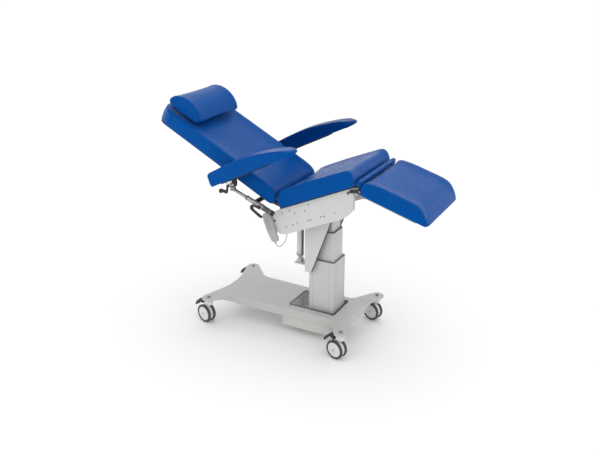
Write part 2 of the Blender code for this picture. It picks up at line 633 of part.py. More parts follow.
def make_sleeve(label, side, root):
    """Clamp sleeve of an arm rest, on a strap that is welded to the back frame's rail."""
    bar_y = side * BAR_Y
    low, high = SLEEVE_LOW, SLEEVE_HIGH
    tube = rod((low[0], bar_y, low[1]), (high[0], bar_y, high[1]), 0.0145, 24)
    sleeve = place(f"arm_sleeve_{label}", tube, root, STEEL)
    strap = [from_back(0.092, -0.0584), from_back(0.122, -0.0584), from_back(0.122, -0.0640),
             from_back(0.092, -0.0640)]
    join(sleeve, sheet(strap, *span(side * 0.188, side * 0.302), "XZ"))
    join(sleeve, rod((CLAMP[0] + 0.020, bar_y, CLAMP[1] - 0.0080),
                     (CLAMP[0] - 0.020, bar_y, CLAMP[1] + 0.0080), 0.0180, 24))
    past = Vector((low[0] - high[0], low[1] - high[1])).normalized() * 0.01
    cut(sleeve, rod((low[0] + past.x, bar_y, low[1] + past.y), (high[0] - past.x, bar_y, high[1] - past.y),
                    BAR_RADIUS + GAP, 24))

    clamp_axis = pivot(f"clamp_lever_{label}_axis", *CLAMP, root, y=bar_y)
    grip = (arc((0, 0), 0.0130, -70, 170, 9)
            + [(-0.044, 0.012), (-0.060, 0.000), (-0.059, -0.020), (-0.036, -0.036), (0.000, -0.060),
               (0.018, -0.067), (0.027, -0.056), (0.006, -0.042), (-0.030, -0.021), (-0.040, -0.008),
               (-0.030, -0.001), (-0.0125, -0.007)])
    place(f"clamp_lever_{label}", sheet(grip, *span(side * 0.0190, side * 0.0285), "XZ"),
          clamp_axis, BLACK)


def make_arm_rest(label, side, forward, root):
    """Sliding bar with a head, tilting pad on its plate, and the lever that locks the tilt.

    The pad lies forward of its hinge by the given distance.
    """
    bar_y = side * BAR_Y
    bar_axis = pivot(f"arm_bar_{label}_axis", *BAR_LOW, root, y=bar_y)
    pad_x, pad_z = PAD_FROM_BAR
    bar = place(f"arm_bar_{label}", rod((0, 0, 0), (BAR_RUN[0], 0, BAR_RUN[1]), BAR_RADIUS, 24),
                bar_axis, STEEL)
    head = ([(-0.017, -0.048), (0.019, -0.048), (0.013, -0.012)] + arc((0, 0), 0.013, 0, 180, 8)
            + [(-0.013, -0.012)])
    join(bar, sheet(head, -0.0080, 0.0080, "XZ"), at=(pad_x, 0, pad_z))
    join(bar, rod((pad_x, 0, pad_z), (pad_x, side * 0.0560, pad_z), 0.005, 16))

    pad_axis = pivot(f"arm_pad_{label}_axis", pad_x, pad_z, bar_axis, y=-bar_y, tilt=-PAD_SLOPE)
    plate_y = span(side * (PAD_Y[0] + 0.022), side * (PAD_Y[1] - 0.020))
    plate_x = (max(-0.060 + forward, -0.028), 0.330 + forward)
    plate = place(f"arm_plate_{label}", box(plate_x, plate_y, (0.0225, 0.0290)), pad_axis, BLACK)
    ear = [(-0.026, 0.0260)] + arc((0, 0), 0.013, 180, 360, 8) + [(0.026, 0.0260)]
    for inner, outer in ((0.3130, 0.3180), (0.3440, 0.3490)):
        join(plate, sheet(ear, *span(side * inner, side * outer), "XZ"))
    cut(plate, rod((0, -0.5, 0), (0, 0.5, 0), 0.0054, 16))

    profile = ([(-0.092, 0.0295), (0.350, 0.0295), (0.500, 0.0255), (0.522, 0.0265)]
               + arc((0.527, 0.041), 0.016, -60, 60, 4)
               + [(0.500, 0.072), (0.450, 0.088), (0.400, 0.100), (0.310, 0.116), (0.220, 0.1270),
                  (0.140, 0.1300), (0.060, 0.1280), (-0.020, 0.1235)]
               + arc((-0.064, 0.085), 0.036, 90, 175, 4) + [(-0.108, 0.050)])
    pad = place(f"arm_pad_{label}", sheet(profile, *span(side * PAD_Y[0], side * PAD_Y[1]), "XZ"),
                pad_axis, VINYL, at=(forward, 0, 0))
    middle = side * (PAD_Y[0] + PAD_Y[1]) / 2
    width = (PAD_Y[1] - PAD_Y[0]) / 2 + 0.0002
    plan = (arc((0.544 - width, middle), width, -90, 90, 8)
            + arc((-0.110 + 0.035, middle + width - 0.035), 0.035, 90, 180, 4)
            + arc((-0.110 + 0.035, middle - width + 0.035), 0.035, 180, 270, 4))
    boolean(pad, sheet(plan, -0.05, 0.20), "INTERSECT")

    handle = [(-0.006, 0.0065), (0.006, 0.0065), (0.0065, -0.006), (0.004, -0.030), (0.000, -0.044),
              (-0.010, -0.049), (-0.030, -0.044), (-0.050, -0.053), (-0.061, -0.046), (-0.060, -0.030),
              (-0.048, -0.022), (-0.026, -0.027), (-0.008, -0.026), (-0.0055, -0.010)]
    place(f"tilt_lever_{label}", sheet(handle, *span(side * 0.3563, side * 0.3660), "XZ"), bar_axis, BLACK,
          at=(pad_x, -bar_y, pad_z))


# ---------------------------------------------------------------- handset

def make_handset(root):
    hang = pivot("handset_axis", *HANDSET_TOP, root, tilt=-HANDSET_LEAN)
    width, depth, length = HANDSET_SIZE
    front = HANDSET_BACK - depth
    outline = ([(-width / 2, -0.012), (-width / 2, -length + 0.055)]
               + arc((-0.018, -length + 0.012), 0.012, 180, 270, 3)
               + arc((0.018, -length + 0.012), 0.012, 270, 360, 3)
               + [(width / 2, -length + 0.055), (width / 2, -0.012)] + arc((0.018, -0.012), 0.012, 0, 90, 3)
               + arc((-0.018, -0.012), 0.012, 90, 180, 3))
    body = place("handset", sheet(outline, front, HANDSET_BACK, "XZ"), hang, GREY_PLASTIC)
    for name, drop in (("handset_button_up", -0.050), ("handset_button_down", -0.080)):
        cut(body, rod((0, front - 0.01, drop), (0, front + 0.0040, drop), 0.0095, 24))
        place(name, rod((0, front - 0.0010, drop), (0, front + 0.0022, drop), 0.0090, 24), hang, PALE_PLASTIC)


CORD_ROUTE = [
    (0.0170, -0.2480, 0.6710),
    (0.0215, -0.2480, 0.6560),
    (0.0325, -0.2465, 0.6465),
    (0.0490, -0.2430, 0.6485),
    (0.0640, -0.2370, 0.6620),
    (0.0745, -0.2290, 0.6830),
    (0.0805, -0.2220, 0.7080),
    (0.0830, -0.2190, 0.7350),
    (0.0835, -0.2190, 0.7600),
    (0.0835, -0.2190, 0.7747),
]


def smooth_route(points, steps):
    """Catmull-Rom curve through the points."""
    ends = [points[0]] + list(points) + [points[-1]]
    route = []
    for a, b, c, d in zip(ends, ends[1:], ends[2:], ends[3:]):
        a, b, c, d = Vector(a), Vector(b), Vector(c), Vector(d)
        for i in range(steps):
            t = i / steps
            route.append(0.5 * (2 * b + (c - a) * t + (2 * a - 5 * b + 4 * c - d) * t * t
                                + (3 * b - a - 3 * c + d) * t ** 3))
    return route + [Vector(points[-1])]


def make_cord(root):
    curve = bpy.data.curves.new("cord", "CURVE")
    curve.dimensions = "3D"
    curve.bevel_depth = CORD_RADIUS
    curve.bevel_resolution = 2
    curve.use_fill_caps = True
    route = smooth_route(CORD_ROUTE, 3)
    spline = curve.splines.new("POLY")
    spline.points.add(len(route) - 1)
    for point, place_at in zip(spline.points, route):
        point.co = (*place_at, 1.0)
    place("handset_cord", solid_of(curve), root, GREY_PLASTIC)
    place("handset_socket", box((0.070, 0.097), (-0.2315, -0.2065), (0.7750, 0.8000)), root, BLACK)


# ---------------------------------------------------------------- the couch

def main():
    root = pivot("couch_origin", -LENGTH_CENTRE, 0.0)
    make_base(root)
    for label, side_x, side_y in (("head_near", -1, -1), ("head_far", -1, 1),
                                  ("foot_near", 1, -1), ("foot_far", 1, 1)):
        make_castor(label, side_x * HALF_WHEELBASE, side_y * HALF_TRACK, root)
    make_column(root)
    make_bracket(root)
    make_actuator("tilt_actuator", TILT_FOOT, TILT_HEAD, 0.0, root, 0.0225, (0.024, 0.285), 0.0095, 0.165,
                  (0.0135, 0.0099, 0.0085))
    make_seat(root)
    make_back(root)
    make_leg(root)
    make_actuator("back_actuator", BACK_FOOT, BACK_HEAD, BACK_ACTUATOR_Y, root, 0.017, (0.020, 0.235),
                  0.008, 0.105, (0.0095, 0.0090, 0.0045))
    make_actuator("leg_actuator", LEG_FOOT, LEG_HEAD, LEG_ACTUATOR_Y, root, 0.017, (0.020, 0.220),
                  0.008, 0.105, (0.0095, 0.0090, 0.0045))
    for label, side, forward in (("near", -1, 0.0), ("far", 1, FAR_PAD_FORWARD)):
        make_sleeve(label, side, root)
        make_arm_rest(label, side, forward, root)
    make_handset(root)
    make_cord(root)


main()
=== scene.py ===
"""Looks of the treatment couch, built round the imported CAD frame. Metres, row frame, +Z up.

A design point is a place before the part was centred on its length; DESIGN brings it into the row frame.
"""

import math

import bmesh
import bpy
import numpy as np
from mathutils import Matrix, Vector
from mathutils.bvhtree import BVHTree


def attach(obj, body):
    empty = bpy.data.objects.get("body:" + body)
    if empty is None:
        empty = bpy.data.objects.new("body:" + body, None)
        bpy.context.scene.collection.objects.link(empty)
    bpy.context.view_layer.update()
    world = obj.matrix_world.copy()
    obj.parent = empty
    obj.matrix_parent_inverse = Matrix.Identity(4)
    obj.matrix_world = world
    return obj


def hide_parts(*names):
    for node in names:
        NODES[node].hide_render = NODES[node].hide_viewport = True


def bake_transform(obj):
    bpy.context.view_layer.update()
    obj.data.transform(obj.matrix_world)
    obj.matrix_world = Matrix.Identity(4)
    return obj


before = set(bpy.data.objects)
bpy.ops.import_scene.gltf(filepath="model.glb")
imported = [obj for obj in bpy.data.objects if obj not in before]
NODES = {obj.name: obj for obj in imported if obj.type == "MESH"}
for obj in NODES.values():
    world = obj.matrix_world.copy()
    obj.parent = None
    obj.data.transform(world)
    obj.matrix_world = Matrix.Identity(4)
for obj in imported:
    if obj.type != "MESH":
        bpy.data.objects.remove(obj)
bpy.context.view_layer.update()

CENTRE = 0.0686
SIDES = (("near", -1), ("far", 1))


# ---- frames of the moving parts

def tilted(x, z, degrees, y=0.0):
    return Matrix.Translation((x - CENTRE, y, z)) @ Matrix.Rotation(math.radians(degrees), 4, "Y")


SEAT = tilted(0.27, 0.85, -24.0)
BACK = tilted(0.031, 0.93, 27.5)
LEG = tilted(0.488, 1.06, 17.0)
PILLOW = BACK @ Matrix.Translation((-0.818, 0.0, 0.079))
PAD = tilted(-0.245, 1.022, -26.7)
FORWARD = {"near": 0.0, "far": 0.06}
HANDSET = tilted(-0.048, 0.85, -20.0)
DESIGN = Matrix.Translation((-CENTRE, 0.0, 0.0))


# ---- camera

AZIMUTH, ELEVATION = math.radians(28.54), math.radians(21.73)
DISTANCE = 4.669
LENS = 44.15
TARGET = Vector((0.0521 - CENTRE, 0.0, 0.7025))


def make_camera():
    level = math.cos(ELEVATION)
    back = Vector((math.sin(AZIMUTH) * level, -math.cos(AZIMUTH) * level, math.sin(ELEVATION)))
    camera = bpy.data.objects.new("camera", bpy.data.cameras.new("camera"))
    camera.data.lens = LENS
    camera.data.sensor_width = 36.0
    camera.data.clip_end = 60.0
    camera.location = TARGET + back * DISTANCE
    camera.rotation_euler = back.to_track_quat("Z", "Y").to_euler()
    bpy.context.scene.collection.objects.link(camera)
    bpy.context.scene.camera = camera


make_camera()


# ---- materials

MIX_FACTOR, MIX_FIRST, MIX_SECOND, MIX_COLOUR = 0, 6, 7, 2


class Shader:
    """A node material, so that a look is a few short lines."""

    def __init__(self, name, colour, roughness, metallic=0.0, **sockets):
        self.material = bpy.data.materials.new(name)
        self.material.use_nodes = True
        self.tree = self.material.node_tree
        self.surface = self.tree.nodes["Principled BSDF"]
        self.surface.inputs["Base Color"].default_value = (*colour, 1.0)
        self.surface.inputs["Roughness"].default_value = roughness
        self.surface.inputs["Metallic"].default_value = metallic
        for socket, value in sockets.items():
            self.surface.inputs[socket.replace("_", " ")].default_value = value
        self.where = self.node("ShaderNodeTexCoord").outputs["Object"]

    def node(self, kind, **values):
        """A node with its properties and sockets set by name."""
        made = self.tree.nodes.new(kind)
        for key, value in values.items():
            if hasattr(made, key):
                setattr(made, key, value)
            else:
                made.inputs[key.replace("_", " ")].default_value = value
        return made

    def link(self, value, socket):
        self.tree.links.new(value, socket)

    def noise(self, scale, detail=3.0, rough=0.5, stretch=None):
        made = self.node("ShaderNodeTexNoise", Scale=scale, Detail=detail, Roughness=rough)
        where = self.where
        if stretch:
            mapping = self.node("ShaderNodeMapping", Scale=stretch)
            self.link(where, mapping.inputs["Vector"])
            where = mapping.outputs["Vector"]
        self.link(where, made.inputs["Vector"])
        return made.outputs["Fac"]

    def cells(self, scale):
        """The distance to the nearest cell's edge."""
        made = self.node("ShaderNodeTexVoronoi", feature="DISTANCE_TO_EDGE", Scale=scale)
        self.link(self.where, made.inputs["Vector"])
        return made.outputs["Distance"]

    def spread(self, value, low, high, new_low=0.0, new_high=1.0):
        made = self.node("ShaderNodeMapRange", From_Min=low, From_Max=high, To_Min=new_low, To_Max=new_high)
        self.link(value, made.inputs["Value"])
        return made.outputs["Result"]

    def mix(self, value, first, second):
        """From the first colour, or colour socket, to the second as the value goes from 0 to 1."""
        made = self.node("ShaderNodeMix", data_type="RGBA")
        if isinstance(first, tuple):
            made.inputs[MIX_FIRST].default_value = (*first, 1.0)
        else:
            self.link(first, made.inputs[MIX_FIRST])
        made.inputs[MIX_SECOND].default_value = (*second, 1.0)
        self.link(value, made.inputs[MIX_FACTOR])
        return made.outputs[MIX_COLOUR]

    def blotches(self, noise, first, second, low=0.35, high=0.65):
        return self.mix(self.spread(noise, low, high), first, second)

    def colour(self, value):
        self.link(value, self.surface.inputs["Base Color"])

    def roughness(self, noise, low, high):
        self.link(self.spread(noise, 0.35, 0.65, low, high), self.surface.inputs["Roughness"])

    def bump(self, height, distance, strength, under=None):
        made = self.node("ShaderNodeBump", Strength=strength, Distance=distance)
        self.link(height, made.inputs["Height"])
        if under:
            self.link(under, made.inputs["Normal"])
        self.link(made.outputs["Normal"], self.surface.inputs["Normal"])
        return made.outputs["Normal"]


def darker(colour, factor):
    return tuple(c * factor for c in colour)


def vinyl(name, colour, lit):
    """Upholstery vinyl: cloudy, with a fine leather grain and painted shade in the creases between its cells.
    """
    shader = Shader(name, colour, 0.4, Specular_IOR_Level=0.17, Specular_Tint=(0.01, 0.3, 0.85, 1.0))
    base = shader.blotches(shader.noise(5.0, 4.0, 0.6), colour, lit, 0.3, 0.7)
    creases = shader.cells(520.0)
    grain = shader.spread(creases, 0.0, 0.09)
    # painted shade: the grain's creases are darkened towards the cell edges
    shader.colour(shader.mix(shader.spread(creases, 0.0, 0.05, 0.35, 0.0), base, darker(colour, 0.72)))
    shader.roughness(shader.noise(24.0, 4.0, 0.6), 0.3, 0.42)
    soft = shader.bump(shader.noise(46.0, 2.0, 0.5), 0.001, 0.12)
    shader.bump(grain, 0.00018, 0.55, soft)
    return shader.material


def paint(name, colour, warm):
    """Powder coat: slightly uneven, with fine specks and orange peel."""
    shader = Shader(name, colour, 0.42, Specular_IOR_Level=0.4)
    base = shader.blotches(shader.noise(3.0, 3.0), colour, warm)
    specks = shader.spread(shader.noise(900.0, 1.0), 0.66, 0.74, 0.0, 0.25)
    shader.colour(shader.mix(specks, base, darker(colour, 0.8)))
    shader.roughness(shader.noise(14.0, 4.0, 0.65), 0.36, 0.5)
    peel = shader.bump(shader.noise(620.0, 2.0, 0.55), 0.0001, 0.5)
    shader.bump(shader.noise(9.0, 2.0), 0.0008, 0.12, peel)
    return shader.material


def anodised(name, colour):
    """Drawn and anodised aluminium, with streaks along Z."""
    shader = Shader(name, colour, 0.4, 0.2)
    streaks = shader.noise(900.0, 3.0, 0.6, (1.0, 1.0, 0.012))
    shader.colour(shader.blotches(streaks, colour, darker(colour, 0.88)))
    shader.roughness(streaks, 0.36, 0.48)
    shader.bump(streaks, 0.00004, 0.3)
    return shader.material


def bright(name, colour, low=0.1, high=0.24):
    """Bare or plated metal, rubbed unevenly."""
    shader = Shader(name, colour, low, 1.0)
    rub = shader.noise(160.0, 4.0, 0.65)
    shader.roughness(rub, low, high)
    shader.colour(shader.blotches(shader.noise(30.0), colour, darker(colour, 0.86), 0.4, 0.6))
    shader.bump(rub, 0.00004, 0.3)
    return shader.material


def moulded(name, colour, low, high, scale=1400.0, depth=0.0001):
    """Plastic or rubber with a fine moulded texture."""
    shader = Shader(name, colour, low)
    texture = shader.noise(scale, 2.0, 0.6)
    faded = tuple(c * 0.85 + 0.004 for c in colour)
    shader.colour(shader.blotches(shader.noise(20.0, 4.0), colour, faded))
    shader.roughness(shader.noise(60.0, 3.0), low, high)
    shader.bump(texture, depth, 0.5)
    return shader.material


BLUE = vinyl("blue_vinyl", (0.0008, 0.064, 0.282), (0.0014, 0.072, 0.312))
# a darker copy of the blue vinyl: painted shade for the far arm pad
FAR_PAD_SHADED_BLUE = vinyl("shaded_blue_vinyl", (0.0004, 0.032, 0.165), (0.0008, 0.037, 0.19))
STITCH = moulded("stitch_thread", (0.004, 0.05, 0.22), 0.55, 0.7, 3000.0)
PAINT = paint("grey_powder_coat", (0.56, 0.57, 0.56), (0.59, 0.59, 0.57))
DECK_PAINT = paint("deck_powder_coat", (0.46, 0.47, 0.46), (0.485, 0.485, 0.47))
WELL_PAINT = paint("well_powder_coat", (0.5, 0.51, 0.49), (0.53, 0.53, 0.51))
LINER_PAINT = paint("well_liner_coat", (0.88, 0.88, 0.87), (0.92, 0.92, 0.91))
BOARD = paint("board_lacquer", (0.34, 0.35, 0.35), (0.37, 0.37, 0.36))
ALUMINIUM = anodised("anodised_aluminium", (0.55, 0.55, 0.56))
TUBE = anodised("actuator_tube", (0.62, 0.63, 0.64))
CHROME = bright("chromed_steel", (0.68, 0.69, 0.7))
ZINC = bright("zinc_plated", (0.4, 0.39, 0.37), 0.22, 0.38)
STEEL = bright("brushed_steel", (0.4, 0.38, 0.35), 0.28, 0.42)
POLISHED = bright("polished_steel", (0.88, 0.88, 0.88), 0.08, 0.18)
LIP = moulded("stage_lip", (0.22, 0.22, 0.225), 0.45, 0.6)
# dark grey that paints the shade in the column's grooves
GROOVE_SHADE = moulded("painted_groove_shade", (0.26, 0.26, 0.27), 0.5, 0.6)
BLACK = moulded("black_plastic", (0.012, 0.012, 0.014), 0.42, 0.58)
# black rubber, also used for black strips that paint shadow lines
SEAL_AND_SHADE = moulded("rubber_seal_and_shade", (0.018, 0.018, 0.02), 0.6, 0.75, 900.0, 0.0002)
TYRE = moulded("grey_tyre", (0.05, 0.047, 0.053), 0.5, 0.68, 700.0, 0.0002)
PALE = moulded("pale_plastic", (0.68, 0.68, 0.7), 0.32, 0.46)
GREY = moulded("grey_plastic", (0.4, 0.41, 0.41), 0.42, 0.55)
BUTTON = moulded("button_rubber", (0.33, 0.34, 0.34), 0.5, 0.62)
DARK_STEEL = bright("blackened_steel", (0.16, 0.14, 0.12), 0.34, 0.5)
HUB_CAP = moulded("hub_cap", (0.5, 0.5, 0.53), 0.36, 0.5)
PANEL = moulded("handset_film", (0.34, 0.355, 0.36), 0.36, 0.46)
DARK_GREY = moulded("dark_grey_plastic", (0.075, 0.078, 0.08), 0.4, 0.55)
CORD = moulded("cord_rubber", (0.3, 0.31, 0.31), 0.45, 0.6, 2000.0)


# ---- making pieces

def add(name, mesh, look, smooth=True):
    piece = bpy.data.objects.new(name, mesh)
    bpy.context.scene.collection.objects.link(piece)
    mesh.materials.clear()
    mesh.materials.append(look)
    if smooth:
        mesh.polygons.foreach_set("use_smooth", [True] * len(mesh.polygons))
    return piece


def bevelled(piece, width, segments=2, angle=32):
    step = piece.modifiers.new("edges", "BEVEL")
    step.width = width
    step.segments = segments
    step.limit_method = "ANGLE"
    step.angle_limit = math.radians(angle)
    step.harden_normals = True
    return piece


def ride(piece, body):
    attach(piece, body)


def fitting(name, mesh, look, body, edge=0.0, segments=2, smooth=True):
    """A small piece of the visual model only, with its edges rounded where edge is given."""
    piece = add(name, mesh, look, smooth)
    if edge:
        bevelled(piece, edge, segments)
    ride(piece, body)


def mesh_of(points, faces, name="shape"):
    mesh = bpy.data.meshes.new(name)
    mesh.from_pydata([tuple(p) for p in points], [], [tuple(f) for f in faces])
    mesh.update()
    return mesh


def gather(*parts):
    """One mesh from several (points, faces) pairs."""
    points, faces = [], []
    for more_points, more_faces in parts:
        start = len(points)
        points.extend(more_points)
        faces.extend(tuple(i + start for i in f) for f in more_faces)
    return mesh_of(points, faces)


def solid(*parts):
    """As gather, for closed parts: every face is turned outwards."""
    mesh = gather(*parts)
    work = bmesh.new()
    work.from_mesh(mesh)
    bmesh.ops.recalc_face_normals(work, faces=work.faces)
    work.to_mesh(mesh)
    work.free()
    return mesh


def turns(sides):
    return [2 * math.pi * k / sides for k in range(sides)]


def loft(rings):
    """A closed form through rings that have the same number of points."""
    count = len(rings[0])
    points = [point for ring in rings for point in ring]
    faces = [(a + k, a + (k + 1) % count, a + count + (k + 1) % count, a + count + k)
             for a in range(0, len(points) - count, count) for k in range(count)]
    return points, faces + [tuple(reversed(range(count))), tuple(range(len(points) - count, len(points)))]


def sweep(path, radii, sides=12):
    """A round tube along points, with one radius or one radius per point."""
    path = [Vector(p) for p in path]
    last = len(path) - 1
    radii = [radii] * len(path) if isinstance(radii, float) else radii
    across = (path[1] - path[0]).normalized().orthogonal().normalized()
    rings = []
    for i, here in enumerate(path):
        along = (path[min(i + 1, last)] - path[max(i - 1, 0)]).normalized()
        across = (across - along * across.dot(along)).normalized()
        other = along.cross(across)
        rings.append([here + (across * math.cos(turn) + other * math.sin(turn)) * radii[i]
                      for turn in turns(sides)])
    return loft(rings)


def lathe(profile, matrix, sides=32):
    """A turned form about the matrix's Z axis; the profile is (radius, height) from top to bottom."""
    points, faces, rows = [], [], []
    for radius, height in profile:
        start = len(points)
        if radius:
            points += [matrix @ Vector((radius * math.cos(turn), radius * math.sin(turn), height))
                       for turn in turns(sides)]
        else:
            points.append(matrix @ Vector((0, 0, height)))
        rows.append(list(range(start, len(points))))
    for upper, lower in zip(rows, rows[1:]):
        for k in range(sides):
            m = (k + 1) % sides
            if len(upper) == 1:
                faces.append((upper[0], lower[k], lower[m]))
            elif len(lower) == 1:
                faces.append((upper[k], lower[0], upper[m]))
            else:
                faces.append((upper[k], lower[k], lower[m], upper[m]))
    return points, faces


def prism(outline, limits_y, matrix):
    """A flat outline in XZ with thickness along Y."""
    return loft([[matrix @ Vector((x, y, z)) for x, z in outline] for y in limits_y])


def block(limits_x, limits_y, limits_z, matrix):
    low, high = limits_z
    left, right = limits_x
    return prism([(left, low), (right, low), (right, high), (left, high)], limits_y, matrix)


def span(side, inner, outer):
    """The limits between two distances from the middle, on the near (-1) or the far (1) side."""
    return sorted((side * inner, side * outer))


def arc(centre, radius, start, end, steps=6):
    degrees = [start + (end - start) * i / steps for i in range(steps + 1)]
    return [(centre[0] + radius * math.cos(math.radians(t)),
             centre[1] + radius * math.sin(math.radians(t))) for t in degrees]


# ---- the handset's cord

CORD_ROUTE = [
    (0.017, -0.248, 0.671),
    (0.0215, -0.248, 0.656),
    (0.0325, -0.2465, 0.6465),
    (0.049, -0.243, 0.6485),
    (0.064, -0.237, 0.662),
    (0.0745, -0.229, 0.683),
    (0.0805, -0.222, 0.708),
    (0.083, -0.219, 0.735),
    (0.0835, -0.219, 0.76),
    (0.0835, -0.219, 0.7747),
]
CORD_RADIUS = 0.0026


def smooth_route(points, steps):
    """Catmull-Rom curve through the points."""
    ends = [points[0]] + list(points) + [points[-1]]
    route = []
    for a, b, c, d in zip(ends, ends[1:], ends[2:], ends[3:]):
        a, b, c, d = Vector(a), Vector(b), Vector(c), Vector(d)
        for i in range(steps):
            t = i / steps
            route.append(0.5 * (2 * b + (c - a) * t + (2 * a - 5 * b + 4 * c - d) * t * t
                                + (3 * b - a - 3 * c + d) * t ** 3))
    return route + [Vector(points[-1])]


def make_cord():
    route = [p - Vector((CENTRE, 0, 0)) for p in smooth_route(CORD_ROUTE, 4)]
    curve = bpy.data.curves.new("handset_lead", "CURVE")
    curve.dimensions = "3D"
    curve.bevel_depth = CORD_RADIUS
    curve.bevel_resolution = 4
    curve.use_fill_caps = True
    spline = curve.splines.new("POLY")
    spline.points.add(len(route) - 1)
    for point, at in zip(spline.points, route):
        point.co = (*at, 1.0)
    spline.use_smooth = True
    lead = bpy.data.objects.new("handset_lead", curve)
    bpy.context.scene.collection.objects.link(lead)
    curve.materials.append(CORD)
    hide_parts("handset_cord")
    ride(lead, "seat")
    first = [route[0] + (route[1] - route[0]).normalized() * d for d in (-0.002, 0.004, 0.01, 0.016)]
    last = [route[-1] - (route[-1] - route[-3]).normalized() * d for d in (-0.001, 0.005, 0.011, 0.018)]
    reliefs = [sweep(path, (0.0044, 0.0042, 0.0034, 0.0026), 14) for path in (first, last)]
    fitting("cord_reliefs", solid(*reliefs), CORD, "seat")


make_cord()


# ---- cushions

def lengths_along(points):
    """How far each point of a polyline lies from its start."""
    steps = np.linalg.norm(np.diff(points, axis=0), axis=1)
    return np.concatenate([[0.0], np.cumsum(steps)])


def even(points, count):
    """The given number of points along a polyline, both ends included."""
    points = np.array(points, float)
    along = lengths_along(points)
    at = np.linspace(0.0, along[-1], count)
    return np.stack([np.interp(at, along, points[:, k]) for k in range(points.shape[1])], 1)


def resample(points, spacing):
    """Points at an even spacing along a polyline."""
    return even(points, max(2, int(round(lengths_along(points)[-1] / spacing))) + 1)


def smoothed(path, rounds):
    """The path with its inner points averaged with their neighbours; its ends stay."""
    for _ in range(rounds):
        path[1:-1] = (path[:-2] + 2 * path[1:-1] + path[2:]) / 4
    return path


def unit(rows):
    return rows / (np.linalg.norm(rows, axis=1)[:, None] + 1e-12)


def pull_in(loop, distance):
    """A counter-clockwise loop moved inwards, each point by its own distance."""
    along = unit(np.roll(loop, -1, 0) - np.roll(loop, 1, 0))
    return loop + np.stack([-along[:, 1], along[:, 0]], 1) * distance[:, None]


def round_corner(outline, past, corner, limit, sign):
    """Draw one end of an outline back, by how far it is past the start of a rounded corner in plan."""
    start = limit - sign * corner
    keep = np.sqrt(1 - np.clip(past / corner, 0.0, 0.985) ** 2)
    beyond = sign * (outline[:, 0] - start) > 0
    outline[:, 0] = np.where(beyond, start + (outline[:, 0] - start) * keep, outline[:, 0])


